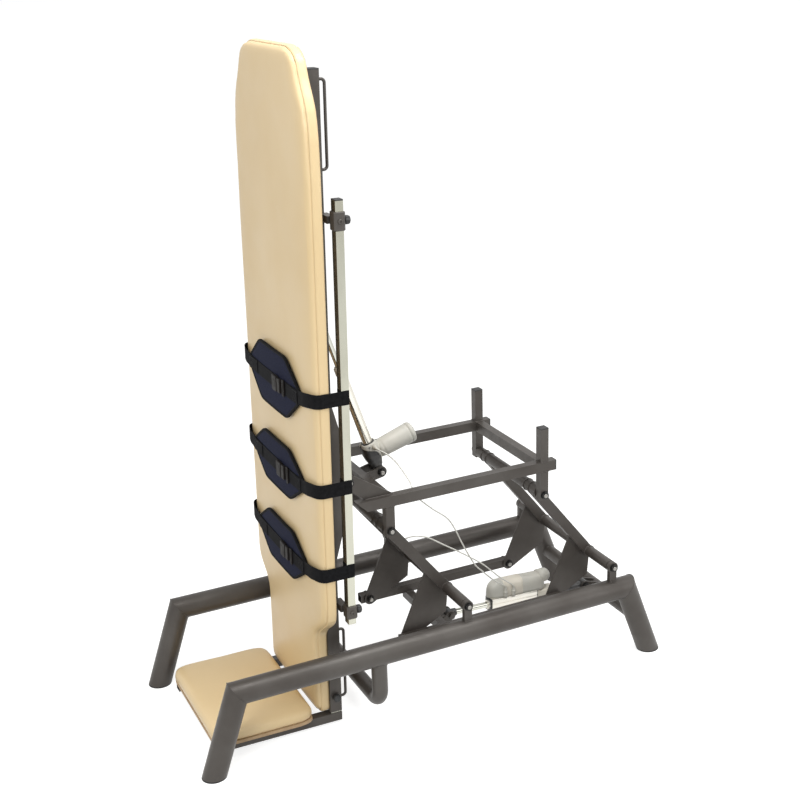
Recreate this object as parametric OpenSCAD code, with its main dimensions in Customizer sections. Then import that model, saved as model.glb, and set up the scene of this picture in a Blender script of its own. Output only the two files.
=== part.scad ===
// Physiotherapy tilt table: a tubular base, a parallelogram lift that carries a small upper
// frame, and a padded top that an actuator turns from upright to flat on that frame.
// Millimetres, +Z up. +X runs from the padded side to the back of the table, and the
// origin is on the floor under the middle of the base.

/* [Base] */
// Outside diameter of the base tubes
base_d = 76; // [60:1:90]
// Distance between the two base tubes, centre to centre
base_gauge = 614; // [500:2:760]
// Height of the base tube centres above the floor
base_z = 270; // [220:1:320]
// Length of the straight base tubes between their mitred corners
base_len = 1430; // [1200:5:1600]
// How far the front feet stand ahead of the front corners
front_foot_reach = 94; // [60:1:140]
// How far the rear feet stand behind the rear corners
rear_foot_reach = 103; // [60:1:140]
// Wall thickness of the base tubes
base_wall = 3; // [2:0.5:5]
// Thickness of the rubber foot pads
pad_h = 5; // [3:1:10]
// Outside diameter of the dropped cross tube
drop_d = 52; // [38:1:60]
// How far the dropped cross tube lies behind the top's frame
drop_gap = 103; // [80:1:140]
// Height of the dropped run above the floor
drop_z = 94; // [80:1:150]
// Bend radius of the dropped cross tube
drop_bend = 48; // [40:1:90]
// Outside diameter of the rear cross tube
rear_tube_d = 50; // [38:1:60]
// Height of the rear cross tube above the floor
rear_tube_z = 145; // [110:1:190]

/* [Lift arms] */
// How far the rear arm pivot lies ahead of the rear corners
rear_pivot_in = 58; // [45:1:80]
// Distance from the front arm pivot to the rear arm pivot
pivot_pitch = 569; // [540:1:600]
// Height of the lower arm pivots above the floor
low_pivot_z = 361; // [350:1:380]
// How far the upper pivots stand ahead of the lower ones
arm_run = 233; // [200:1:260]
// How far the upper pivots stand above the lower ones
arm_rise = 296; // [260:1:320]
// Depth of the arm section
arm_h = 35; // [28:1:40]
// Width of the arm section
arm_w = 30; // [24:1:36]
// Distance from the middle plane to the centre of each arm
arm_y = 150; // [130:1:170]
// Outside diameter of the lower torsion tubes
low_tube_d = 38; // [34:1:44]
// Outside diameter of the upper torsion tubes
high_tube_d = 40; // [36:1:46]
// Thickness of the lower pivot lugs
lug_t = 16; // [10:1:24]
// Width of the lower pivot lugs
lug_w = 28; // [22:1:36]
// Radius of the lug eyes
lug_eye_r = 19; // [16:0.5:24]
// Thickness of the gusset plates
gusset_t = 6; // [4:0.5:10]
// How far the link pivots stand ahead of and below the arm pivots
link_arm = 150; // [120:1:170]

/* [Upper frame] */
// How much wider the upper frame is than the top's frame
frame_over = 40; // [36:1:46]
// Height of the top faces of the rails
frame_top_z = 776; // [740:1:820]
// Width of the square sections
box_w = 30; // [25:1:40]
// Height of the rail section
rail_h = 35; // [30:1:45]
// How far the rails' pointed front ends reach ahead of the front posts' centres
rail_front = 113; // [90:1:125]
// How far the rails run on behind the rear posts' centres
rail_back = 42; // [25:1:70]
// Wall thickness of the square tubes
box_wall = 2.5; // [1.5:0.5:4]

/* [Tabletop] */
// Backward lean of the top in its upright position, in degrees
table_lean = 1; // [0:0.5:3]
// How far the top's frame stands ahead of the front posts' centres, at floor level
table_ahead = 234; // [215:1:250]
// Outside width of the top's frame
table_frame_w = 440; // [400:2:480]
// Side of the frame's square tube
table_box = 40; // [35:1:50]
// Lower end of the frame along the top
table_low = 45; // [40:1:60]
// Upper end of the frame along the top
table_high = 2100; // [2000:5:2200]
// Width of the upholstered top
cushion_w = 618; // [580:2:650]
// Lower end of the upholstery along the top
cushion_low = 47; // [40:1:60]
// Upper end of the upholstery along the top
cushion_high = 2165; // [2080:5:2250]
// Depth of the upholstered top, board and padding together
pad_depth = 50; // [40:1:70]
// Thickness of the board under the padding
board_t = 12; // [9:1:18]
// Distance of the tilt hinge behind the front face of the top's frame
hinge_u = 91.2; // [85:0.1:100]
// Height of the tilt hinge above the upper frame's rails
hinge_rise = 69; // [55:1:90]

/* [Side rails] */
// Depth of the chromed rail section
side_rail_u = 25; // [20:1:30]
// Width of the chromed rail section
side_rail_y = 30; // [25:1:40]
// Distance from the middle plane to the centre of a side rail
side_rail_at = 295; // [285:1:305]
// Lower end of the side rails along the top
side_rail_low = 405; // [380:1:440]
// Upper end of the side rails along the top
side_rail_high = 1746; // [1600:1:1800]
// Diameter of the grab handle rods
handle_d = 11; // [9:0.5:14]

/* [Footboard] */
// Width of the footboard
foot_w = 490; // [440:2:540]
// Depth of the footboard's padding from front to back
foot_depth = 347; // [300:1:380]
// Travel of the footboard along the top
foot_travel = 70; // [0:5:120]

/* [Actuators] */
// Diameter of the tilt actuator's outer tube
tilt_tube_d = 34; // [30:1:40]
// Diameter of the tilt actuator's piston rod
tilt_rod_d = 20; // [16:1:24]
// Diameter of the tilt actuator's motor
tilt_motor_d = 70; // [60:1:80]
// Diameter of the lift actuator's piston rod
lift_rod_d = 21; // [16:1:24]
// Height of the lift actuator's extruded housing
lift_box_h = 53; // [45:1:60]

/* [Hidden] */
$fn = 48;
overrun = 2;
weld_sink = 0.6;
run_clear = 0.05;
seat_clear = 0.1;
slide_clear = 0.2;
face_clear = 0.3;
hull_fn = 32;
hex = 6;

// floor contact and middle of the base
front_leg_angle = atan2(front_foot_reach, base_z);
rear_leg_angle = atan2(rear_foot_reach, base_z);
front_miter = (90 - front_leg_angle) / 2;
rear_miter = (90 - rear_leg_angle) / 2;
front_edge = -front_foot_reach - base_d / 2 / cos(front_leg_angle);
rear_edge = base_len + rear_foot_reach + base_d / 2 / cos(rear_leg_angle);
x_mid = (front_edge + rear_edge) / 2;
half_gauge = base_gauge / 2;
rear_tube_x = base_len + (base_z - rear_tube_z) * rear_foot_reach / base_z;
trim_span = 400;

// arms
arm_len = sqrt(arm_run * arm_run + arm_rise * arm_rise);
arm_angle = atan2(arm_run, arm_rise);
arm_wall = 2.5;
rear_pivot_x = base_len - rear_pivot_in;
front_pivot_x = rear_pivot_x - pivot_pitch;
lug_in = half_gauge - lug_t / 2;
lug_out = half_gauge + lug_t / 2;
washer_t = 2;
washer_r = 15;
bolt_r = 8;
bolt_head_r = 13;
bolt_head_h = 9;
plug_len = 36;
torsion_wall = 3.5;
frame_w = table_frame_w + frame_over;
post_in = frame_w / 2 - box_w;
post_out = frame_w / 2;
low_tube_half = lug_in - washer_t - face_clear;
high_tube_half = post_in - washer_t - face_clear;
gusset_tip_r = 22;
gusset_arm_at = 112;
gusset_heel = [6, -30];
gusset_foot = [0, -95];

// upper frame
high_pivot_x = front_pivot_x - arm_run;
high_pivot_z = low_pivot_z + arm_rise;
post_drop = 20;
rail_start = high_pivot_x - rail_front;
rail_end = high_pivot_x + pivot_pitch + rail_back;
table_x = high_pivot_x - table_ahead;
drop_x = table_x + table_box + drop_gap;
hinge_z = frame_top_z + hinge_rise;
hinge_w = (hinge_z + hinge_u * sin(table_lean)) / cos(table_lean);
hinge_x = table_x + hinge_u * cos(table_lean) + hinge_w * sin(table_lean);
rest_top = hinge_z + hinge_u - table_box - face_clear;
cap_t = 4;
hinge_eye_r = 24;
hinge_bolt_r = 10;
hinge_plate_t = 8;
hinge_gap = 2;
hinge_lug_in = 4;
hinge_lug_y = post_in + hinge_lug_in;
hinge_plate_y = hinge_lug_y - hinge_gap - hinge_plate_t;
hinge_lug_back = 50;
hinge_lug_len = 96;
hinge_plate_half = 257;
hinge_plate_lip = 5;

// tilt actuator: lower pivot on the upper frame, upper pivot on the top
tilt_low_back = 68;
tilt_low_drop = 6;
tilt_low = [high_pivot_x + tilt_low_back, frame_top_z - tilt_low_drop];
tilt_high_u = 53.5;
tilt_high_above = 613.5;
tilt_high = [tilt_high_u, hinge_w + tilt_high_above];
tilt_high_x = table_x + tilt_high[0] * cos(table_lean) + tilt_high[1] * sin(table_lean);
tilt_high_z = tilt_high[1] * cos(table_lean) - tilt_high[0] * sin(table_lean);
tilt_dx = tilt_high_x - tilt_low[0];
tilt_dz = tilt_high_z - tilt_low[1];
tilt_len = sqrt(tilt_dx * tilt_dx + tilt_dz * tilt_dz);
tilt_angle = atan2(tilt_dx, tilt_dz);
tilt_eye_r = 17;
tilt_eye_w = 46;
tilt_cheek_t = 6;
tilt_cheek_gap = 1;
tilt_gear_from = 34;
tilt_gear_to = 108;
tilt_gear_size = [62, 58];
tilt_motor_at = 66;
tilt_motor_end = 160;
tilt_tube_end = 372;
tilt_cap_end = 400;
tilt_rod_in = 366;
rod_eye_r = 14;
rod_eye_w = 28;
rod_cheek_gap = 3;
rod_cheek_t = 5;
rod_bore_from = 72;
rod_sleeve = 3;
rod_sleeve_h = 12;
cap_lip = 1;
cap_taper = 6;
cap_neck = 3;
gear_corner = 12;
eye_boss = 2;
motor_face = 40;
motor_step = 3;
motor_lip = 2;
motor_round = 12;
motor_side_end = 150;
motor_shoulder = 157;

// link frame
link_h = 30;
link_in = arm_y + gusset_t / 2 + face_clear;
link_z = low_pivot_z - link_arm;
link_x = front_pivot_x - link_arm;
link_over = 33;
link_cross_back = 159;
link_cross_x = link_x + link_cross_back;
link_cross_z = link_z - link_h;

// lift actuator: pivot on the rear cross tube, rod end on the link frame
lift_y = -60;
lift_back_in = 62.7;
lift_back_rise = 27;
lift_back = [rear_tube_x - lift_back_in, rear_tube_z + lift_back_rise];
lift_front_back = 48;
lift_front_drop = 13;
lift_front = [link_cross_x + lift_front_back, link_z - lift_front_drop];
lift_len = norm(lift_back - lift_front);
lift_angle = atan2(lift_front[1] - lift_back[1], lift_back[0] - lift_front[0]);
lift_eye_r = 18;
lift_eye_w = 26;
lift_cheek_t = 6;
lift_box_y = 50;
lift_control_at = [135, 208];
lift_box_at = [208, 393];
lift_gland_end = 402;
lift_rod_in = 312;
lift_bore_to = 206;
lift_neck_d = 30;
lift_neck_back = 10;
profile_corner = 5;
profile_slot = [4, 5];
profile_slot_z = 10;
profile_collar = 6;
shell_front = 372;
shell_back = 190;
shell_front_r = 28;
shell_back_r = 34;
shell_front_z = 56;
shell_back_z = 62;
shell_y = 8;
shell_back_y = 12;
shell_foot_h = 4;
shell_lift = 2;
shell_strip_y = 40;
shell_strip_in = 10;
motor_back = 142;
motor_r = 25;
motor_z = 68;
motor_y = 10;
control_in = 6;
control_drop = 9;
control_corner = 4;
control_lip = 12;
control_lip_w = 38;

// top
board_inset = 4;
cushion_gap = 0.3;
cushion_back = board_t + cushion_gap;
cushion_crown = pad_depth - cushion_back;
table_cross_h = 30;
cross_low_in = 285;
cross_high_in = 70;
cross_above_hinge = 53.3;
table_cross_w = [table_low + cross_low_in, hinge_w + cross_above_hinge, tilt_high[1],
  table_high - cross_high_in];
table_cross_u = [(table_box - table_cross_h) / 2, (table_box + table_cross_h) / 2];
rail_u = 50;
sleeve_wall = 5;
sleeve_low_in = 20;
sleeve_low_h = 43;
sleeve_high_in = 31;
sleeve_high_h = 55;
sleeve_spans = [[side_rail_low + sleeve_low_in, side_rail_low + sleeve_low_in + sleeve_low_h],
  [side_rail_high - sleeve_high_in - sleeve_high_h, side_rail_high - sleeve_high_in]];
rail_arm_t = 25;
rail_arm_u = [rail_u - rail_arm_t, rail_u];
rail_arm_h = 22;
rail_wall = 2;
handle_low_in = 39;
handle_low_len = 250;
handle_high_in = 24;
handle_high_len = 253;
handle_spans = [[table_low + handle_low_in, table_low + handle_low_in + handle_low_len],
  [table_high - handle_high_in - handle_high_len, table_high - handle_high_in]];
handle_y_in = 23;
handle_y = table_frame_w / 2 - handle_y_in;
handle_stand = 63.5;
handle_bend = 16;
knob_r = 14;
knob_lobe_r = 5;
knob_h = 17;
knob_stem_r = 4;
rail_knob_stem = 8;
foot_knob_stem = 6;
lobes = 6;
foot_knob_in = 56;
foot_knob_w = table_low + foot_knob_in;

// cushion outline: share of its length, share of its half width, share of the full depth
cushion_outline_shares = [
  [0, 0.6408, 0.55], [0.0014, 0.6667, 0.78], [0.0042, 0.6861, 0.92], [0.0099, 0.6958, 1],
  [0.0722, 0.6958, 1], [0.1289, 0.6958, 1], [0.136, 0.7023, 1], [0.1431, 0.7249, 1],
  [0.1501, 0.7702, 1], [0.1572, 0.8317, 1], [0.1643, 0.8964, 1], [0.1714, 0.9482, 1],
  [0.1785, 0.9773, 1], [0.1879, 0.9903, 1], [0.2044, 0.9968, 1], [0.3083, 1, 1], [0.4263, 1, 1],
  [0.5444, 1, 1], [0.6624, 1, 1], [0.7805, 1, 1], [0.8277, 0.9968, 1], [0.856, 0.9903, 1],
  [0.8843, 0.9806, 1], [0.9056, 0.9612, 1], [0.9221, 0.9353, 1], [0.9363, 0.89, 1],
  [0.9485, 0.8382, 1], [0.9599, 0.7961, 1], [0.9717, 0.7638, 1], [0.9825, 0.7282, 1],
  [0.9896, 0.6764, 1], [0.9943, 0.6214, 0.96], [0.9972, 0.5696, 0.88], [0.9991, 0.5178, 0.74],
  [1, 0.4854, 0.5]];
cushion_stations = [for (s = cushion_outline_shares)
  [cushion_low + s[0] * (cushion_high - cushion_low), s[1] * cushion_w / 2, s[2]]];
// cushion section: share of the half width, share of the depth, from the middle of the back
cushion_shares = [
  [0, 0], [0.6, 0], [0.975, 0], [1, 0.14], [1, 0.5], [0.992, 0.7], [0.972, 0.84], [0.93, 0.92],
  [0.8, 0.965], [0.55, 0.985], [0.25, 0.997]];
// footboard pad outline: share of its depth, share of its half width, share of its full height
foot_outline_shares = [
  [0, 0.8367, 0.5], [0.0086, 0.8816, 0.75], [0.0259, 0.9265, 0.9], [0.0548, 0.9633, 1],
  [0.1009, 0.9878, 1], [0.1585, 1, 1], [0.4986, 1, 1], [0.8444, 1, 1], [0.902, 0.9878, 1],
  [0.9452, 0.9633, 1], [0.9741, 0.9265, 0.96], [0.9914, 0.8816, 0.8], [1, 0.8367, 0.5]];
foot_gap = 7;
foot_stations = [for (s = foot_outline_shares)
  [pad_depth + foot_gap + s[0] * foot_depth, s[1] * foot_w / 2, s[2]]];
foot_low = 10;
foot_bar = [[table_frame_w / 2 - box_w, table_frame_w / 2], [foot_low, foot_low + box_w]];
foot_bar_front = pad_depth + foot_gap + foot_depth;
foot_bar_in = 10;
foot_grip = 130;
foot_board_t = 10;
foot_pad_t = 40;

// belts: distance along the top, height of the pad, half length of the pad
chest_w = 1150;
hip_w = 863;
knee_w = 582;
chest_pad_h = 200;
leg_pad_h = 170;
chest_half = 225;
hip_half = 220;
knee_half = 215;
belts = [[chest_w, chest_pad_h, chest_half], [hip_w, leg_pad_h, hip_half], [knee_w, leg_pad_h, knee_half]];
belt_w = 45;
belt_t = 2;
buckle_corner = 8;
buckle_notch_r = 6;
belt_pad_t = 8;
belt_pad_u = 54;
belt_bow = 5;
belt_steps = 16;
buckle_half = 36;
buckle_h = 52;
buckle_t = 12;
buckle_y = -60;
// half of a belt's run outside its pad: share of the top's depth, share of its distance from the middle
belt_route_shares = [
  [1.27, 0.7645], [1.24, 0.8159], [1.18, 0.8738], [1.1, 0.9219], [0.98, 0.9605], [0.82, 0.9862],
  [0.62, 0.999], [0.32, 1], [-0.2, 1], [-0.76, 1]];
belt_out = side_rail_at + side_rail_y / 2 + face_clear + belt_t / 2;
belt_route = [for (s = belt_route_shares) [s[0] * pad_depth, s[1] * belt_out]];
stitch_gap = 0.05;
buckle_gap = 0.4;

// cables
cable_r = 3;
cable_sides = 8;
clip_x = 665;
clip_z = 755;
clip_h = 18;
clip_w = 14;
clip_t = 12;
clip_bore = 8;
clip_y = clip_t / 2 - post_in;
clip_face_y = clip_t + face_clear - post_in;
gland_r = 7;
gland_h = 12;
lift_gland_h = 24;
gear_gland_at = [7, 96];
gear_gland_y = -tilt_gear_size[1] / 2 - gland_h - face_clear;
cable_motor_route = [
  [615, gear_gland_y, 863.5], [615, gear_gland_y - cable_r, 863.5],
  [615, gear_gland_y - 2 * cable_r, 863.5], [619, -55, 861], [631, -65, 854],
  [646, -79, 843], [659, -99, 827], [667, -124, 809], [670, -153, 794], [668, -182, 786], [666, -198, 780],
  [clip_x, clip_y, 773], [clip_x, clip_y, 766], [clip_x, clip_y, clip_z + clip_h / 2 - clip_bore + face_clear]];
cable_down_route = [
  [clip_x, clip_face_y, clip_z], [clip_x, clip_face_y + cable_r, clip_z],
  [clip_x, clip_face_y + 2 * cable_r, clip_z], [672, -187, 749], [688, -184, 731], [712, -182, 705],
  [752, -177, 667], [808, -168, 618], [840, -160, 568], [867, -150, 513], [898, -140, 454], [931, -128, 399],
  [965, -117, 361], [1002, -106, 322], [1037, -97, 290], [1062, -90, 271], [1073, -86, 259],
  [1076, -84, 249], [1076, -84, 240]];
cable_hand_route = [
  [652, arm_w / 2 - arm_y + face_clear, 543], [652, arm_w / 2 - arm_y + face_clear + cable_r, 543],
  [652, arm_w / 2 - arm_y + face_clear + 2 * cable_r, 543], [661, -124, 550], [686, -122, 558],
  [721, -125, 555], [759, -122, 539], [818, -116, 497], [870, -111, 460], [922, -105, 421],
  [974, -99, 380], [1012, -95, 342], [1050, -92, 304], [1086, -89, 274], [1103, -86, 258],
  [1108, -84, 247], [1108, -84, 238]];

frame_col = [0.24, 0.22, 0.21];
vinyl_col = [0.85, 0.74, 0.58];
chrome_col = [0.82, 0.82, 0.83];
grey_col = [0.72, 0.72, 0.70];
dark_col = [0.16, 0.16, 0.17];
black_col = [0.06, 0.06, 0.06];
navy_col = [0.08, 0.10, 0.20];
zinc_col = [0.55, 0.55, 0.56];
board_col = [0.62, 0.48, 0.32];

// places

module placed() translate([-x_mid, 0, 0]) children();

// along the leaning top: x ahead of and behind its frame's front face, z along the top
module on_table() placed() translate([table_x, 0, 0]) rotate([0, table_lean, 0]) children();

// along the tilt actuator: z from its lower pivot towards the top, x towards its motor
module on_tilt() placed() translate([tilt_low[0], 0, tilt_low[1]]) rotate([0, tilt_angle, 0]) children();

// along the lift actuator: x runs back towards its rear pivot, which is the origin
module on_lift() placed() translate([lift_back[0], lift_y, lift_back[1]]) rotate([0, lift_angle, 0])
  children();

module both() for (side = [-1, 1]) scale([1, side, 1]) children();

// shapes

module cyl_y(r, from, to, n = $fn) translate([0, from, 0]) rotate([-90, 0, 0])
  cylinder(r = r, h = to - from, $fn = n);

module cyl_x(r, from, to) translate([from, 0, 0]) rotate([0, 90, 0]) cylinder(r = r, h = to - from);

module block(x, y, z) translate([x[0], y[0], z[0]]) cube([x[1] - x[0], y[1] - y[0], z[1] - z[0]]);

// everything on the far side of a plane through a point, whose normal is turned from +X
module trim(at, turn) translate([at[0], 0, at[1]]) rotate([0, turn, 0])
  translate([0, -trim_span, -trim_span]) cube([trim_span, 2 * trim_span, 2 * trim_span]);

module plate_y(from, to) translate([0, to, 0]) rotate([90, 0, 0]) linear_extrude(to - from) children();

module round_rect(size, r) {
  square([size[0] - 2 * r, size[1]], center = true);
  square([size[0], size[1] - 2 * r], center = true);
  for (sx = [-1, 1], sy = [-1, 1])
    translate([sx * (size[0] / 2 - r), sy * (size[1] / 2 - r)]) circle(r);
}

// square tube along z
module box_tube(size, wall, from, to) difference() {
  translate([0, 0, from]) linear_extrude(to - from) square(size, center = true);
  translate([0, 0, from - overrun]) linear_extrude(to - from + 2 * overrun)
    square([size[0] - 2 * wall, size[1] - 2 * wall], center = true);
}

// bolt along y with its head at the outer end, and a washer on its shank
module bolt_y(r, out, inner, washer_at) {
  cyl_y(r, inner, out + overrun);
  cyl_y(bolt_head_r, out, out + bolt_head_h, hex);
  cyl_y(washer_r, washer_at, washer_at + washer_t);
}

function normal(path, i) = let (
  a = path[max(i - 1, 0)], b = path[min(i + 1, len(path) - 1)], d = b - a) [-d[1], d[0]] / norm(d);
function band(path, t) = concat(
  [for (i = [0:len(path) - 1]) path[i] + normal(path, i) * t / 2],
  [for (i = [len(path) - 1:-1:0]) path[i] - normal(path, i) * t / 2]);

function unit(v) = v / norm(v);
function along(path, i) = unit(path[min(i + 1, len(path) - 1)] - path[max(i - 1, 0)]);
function smooth(path, n) = [for (i = [0:len(path) - 2], s = [0:n - 1]) let (
  p0 = path[max(i - 1, 0)], p1 = path[i], p2 = path[i + 1], p3 = path[min(i + 2, len(path) - 1)], f = s / n)
  0.5 * (2 * p1 + (p2 - p0) * f + (2 * p0 - 5 * p1 + 4 * p2 - p3) * f * f
  + (3 * p1 - p0 - 3 * p2 + p3) * f * f * f), path[len(path) - 1]];

// round tube swept along a route
module cord(route, r, sides, steps) {
  path = smooth(route, steps);
  count = len(path);
  points = [for (i = [0:count - 1]) let (
    d = along(path, i), a = unit(cross(d, [1, -0.5, 0.3])), b = cross(d, a))
    for (k = [0:sides - 1]) path[i] + r * (cos(360 * k / sides) * a + sin(360 * k / sides) * b)];
  faces = concat(
    [[for (k = [0:sides - 1]) k]],
    [for (i = [0:count - 2], k = [0:sides - 1], half = [0, 1]) let (n = (k + 1) % sides)
      half == 0 ? [i * sides + n, i * sides + k, (i + 1) * sides + k]
      : [i * sides + n, (i + 1) * sides + k, (i + 1) * sides + n]],
    [[for (k = [sides - 1:-1:0]) (count - 1) * sides + k]]);
  polyhedron(points, faces, convexity = 6);
}

// crowned pad: rings across a table of stations, its back at zero and its crown at +z
module crowned(stations, shares, depth) {
  side = len(shares);
  ring = concat(shares, [[0, 1]], [for (k = [side - 1:-1:1]) [-shares[k][0], shares[k][1]]]);
  n = len(ring);
  count = len(stations);
  points = [for (s = stations, q = ring) [s[0], q[0] * s[1], q[1] * depth * s[2]]];
  faces = concat(
    [[for (k = [n - 1:-1:0]) k]],
    [for (i = [0:count - 2], k = [0:n - 1], half = [0, 1]) let (m = (k + 1) % n)
      half == 0 ? [i * n + k, i * n + m, (i + 1) * n + m] : [i * n + k, (i + 1) * n + m, (i + 1) * n + k]],
    [[for (k = [0:n - 1]) (count - 1) * n + k]]);
  polyhedron(points, faces, convexity = 4);
}

function outline(stations, inset) = let (
  low = stations[0], high = stations[len(stations) - 1],
  mid = [for (s = stations) if (s[0] > low[0] + inset && s[0] < high[0] - inset) s]) concat(
  [[low[0] + inset, low[1] - inset]], [for (s = mid) [s[0], s[1] - inset]],
  [[high[0] - inset, high[1] - inset], [high[0] - inset, inset - high[1]]],
  [for (i = [len(mid) - 1:-1:0]) [mid[i][0], inset - mid[i][1]]],
  [[low[0] + inset, inset - low[1]]]);

// base

module leg_axis(corner, turn) translate([corner, 0, base_z]) rotate([0, turn, 0]) children();

module leg(corner, turn, r) leg_axis(corner, turn)
  translate([0, 0, -base_d]) cylinder(r = r, h = 2 * base_d + base_z);

module under(z) translate([-trim_span, -trim_span, z - trim_span])
  cube([2 * trim_span, 2 * trim_span, trim_span]);

module base_rails() color(frame_col) placed() for (side = [-1, 1])
  translate([0, side * half_gauge, 0]) difference() {
  translate([0, 0, base_z]) difference() {
    cyl_x(base_d / 2, -base_d, base_len + base_d);
    cyl_x(base_d / 2 - base_wall, -base_d - overrun, base_len + base_d + overrun);
  }
  trim([0, base_z], 180 - front_miter);
  trim([base_len, base_z], rear_miter);
}

module base_leg(corner, turn, cut) difference() {
  leg(corner, turn, base_d / 2);
  leg(corner, turn, base_d / 2 - base_wall);
  trim([corner, base_z], cut);
  translate([corner, 0, 0]) under(pad_h);
}

module base_legs() color(frame_col) placed() for (side = [-1, 1]) translate([0, side * half_gauge, 0]) {
  base_leg(0, 180 + front_leg_angle, -front_miter);
  base_leg(base_len, 180 - rear_leg_angle, 180 + rear_miter);
}

module foot_pad(corner, turn) intersection() {
  leg(corner, turn, base_d / 2);
  translate([corner - trim_span, -trim_span, 0]) cube([2 * trim_span, 2 * trim_span, pad_h]);
}

module foot_pads() color(black_col) placed() for (side = [-1, 1]) translate([0, side * half_gauge, 0]) {
  foot_pad(0, 180 + front_leg_angle);
  foot_pad(base_len, 180 - rear_leg_angle);
}

module drop_path(r) {
  translate([0, 0, drop_z]) cyl_y(r, -half_gauge + drop_bend, half_gauge - drop_bend);
  both() {
    translate([0, half_gauge - drop_bend, drop_z + drop_bend]) rotate([90, 0, 90]) rotate([0, 0, -90])
      rotate_extrude(angle = 90) translate([drop_bend, 0]) circle(r);
    translate([0, half_gauge, drop_z + drop_bend]) cylinder(r = r, h = base_z - drop_z - drop_bend);
  }
}

module drop_crossmember() color(frame_col) placed() difference() {
  translate([drop_x, 0, 0]) drop_path(drop_d / 2);
  translate([drop_x, 0, 0]) drop_path(drop_d / 2 - arm_wall);
  both() translate([0, half_gauge, base_z]) cyl_x(base_d / 2, 0, base_len);
}

module rear_cross_tube() color(frame_col) placed() difference() {
  union() {
    translate([rear_tube_x, 0, rear_tube_z]) cyl_y(rear_tube_d / 2, -half_gauge, half_gauge);
    for (side = [-1, 1]) {
      at = lift_y + side * (lift_eye_w / 2 + tilt_cheek_gap + lift_cheek_t / 2) - lift_cheek_t / 2;
      hull() {
        translate([lift_back[0], 0, lift_back[1]]) cyl_y(lift_eye_r, at, at + lift_cheek_t, hull_fn);
        translate([rear_tube_x, 0, rear_tube_z])
          cyl_y(rear_tube_d / 2 - weld_sink, at, at + lift_cheek_t, hull_fn);
      }
    }
  }
  translate([rear_tube_x, 0, rear_tube_z]) cyl_y(rear_tube_d / 2 - base_wall, -half_gauge, half_gauge);
  translate([lift_back[0], 0, lift_back[1]]) cyl_y(bolt_r + seat_clear, lift_y - base_d, lift_y + base_d);
  both() translate([0, half_gauge, 0]) leg(base_len, 180 - rear_leg_angle, base_d / 2);
}

module pivot_lugs() color(frame_col) placed() both() for (x = [front_pivot_x, rear_pivot_x]) difference() {
  union() {
    translate([x, 0, low_pivot_z]) cyl_y(lug_eye_r, lug_in, lug_out);
    block([x - lug_w / 2, x + lug_w / 2], [lug_in, lug_out], [base_z, low_pivot_z]);
  }
  translate([0, half_gauge, base_z]) cyl_x(base_d / 2, 0, base_len);
  translate([x, 0, low_pivot_z]) cyl_y(bolt_r + seat_clear, lug_in - overrun, lug_out + overrun);
}

module base_bolts() color(zinc_col) placed() {
  both() for (x = [front_pivot_x, rear_pivot_x]) translate([x, 0, low_pivot_z])
    bolt_y(bolt_r, lug_out, low_tube_half - plug_len + overrun, lug_in - washer_t);
  translate([lift_back[0], lift_y, lift_back[1]]) {
    half = lift_eye_w / 2 + tilt_cheek_gap + lift_cheek_t;
    cyl_y(bolt_r, -half - overrun, half + overrun);
    both() cyl_y(bolt_head_r, half, half + bolt_head_h, hex);
  }
}

// arms

module arm_axis(x) translate([x, 0, low_pivot_z]) rotate([0, -arm_angle, 0]) children();

module arm_bars(x) both() difference() {
  arm_axis(x) translate([0, arm_y, 0]) box_tube([arm_h, arm_w], arm_wall, 0, arm_len);
  translate([x, 0, low_pivot_z]) cyl_y(low_tube_d / 2, 0, half_gauge);
  translate([x - arm_run, 0, high_pivot_z]) cyl_y(high_tube_d / 2, 0, half_gauge);
}

module torsion_tube(d, half) difference() {
  cyl_y(d / 2, -half, half);
  cyl_y(d / 2 - torsion_wall, -half + plug_len, half - plug_len);
  both() cyl_y(bolt_r + run_clear, half - plug_len - overrun, half + overrun);
}

module arm_tubes(x) {
  translate([x, 0, low_pivot_z]) torsion_tube(low_tube_d, low_tube_half);
  translate([x - arm_run, 0, high_pivot_z]) torsion_tube(high_tube_d, high_tube_half);
}

module arm_gussets(x) both() difference() {
  translate([x, 0, low_pivot_z]) plate_y(arm_y - gusset_t / 2, arm_y + gusset_t / 2) hull() {
    translate([-link_arm, -link_arm]) circle(gusset_tip_r, $fn = hull_fn);
    polygon([[-gusset_arm_at * sin(arm_angle), gusset_arm_at * cos(arm_angle)], [0, 0],
      gusset_heel, gusset_foot]);
  }
  arm_axis(x) translate([-arm_h / 2, 0, -overrun]) cube([arm_h, half_gauge, arm_len]);
  translate([x, 0, low_pivot_z]) cyl_y(low_tube_d / 2, 0, half_gauge);
  translate([x - link_arm, 0, link_z]) cyl_y(bolt_r + run_clear, 0, half_gauge);
}

module front_arm_bars() color(frame_col) placed() arm_bars(front_pivot_x);
module front_arm_tubes() color(frame_col) placed() arm_tubes(front_pivot_x);
module front_arm_gussets() color(frame_col) placed() arm_gussets(front_pivot_x);
module rear_arm_bars() color(frame_col) placed() arm_bars(rear_pivot_x);
module rear_arm_tubes() color(frame_col) placed() arm_tubes(rear_pivot_x);
module rear_arm_gussets() color(frame_col) placed() arm_gussets(rear_pivot_x);

// upper frame

module rail_outline(inset) polygon([
  [rail_start + inset * (1 + sqrt(2)), frame_top_z - inset],
  [rail_end + (inset > 0 ? overrun : 0), frame_top_z - inset],
  [rail_end + (inset > 0 ? overrun : 0), frame_top_z - rail_h + inset],
  [rail_start + rail_h + inset * (sqrt(2) - 1), frame_top_z - rail_h + inset]]);

module frame_rails() color(frame_col) placed() both() difference() {
  plate_y(post_in, post_out) rail_outline(0);
  plate_y(post_in + box_wall, post_out - box_wall) rail_outline(box_wall);
}

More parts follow.
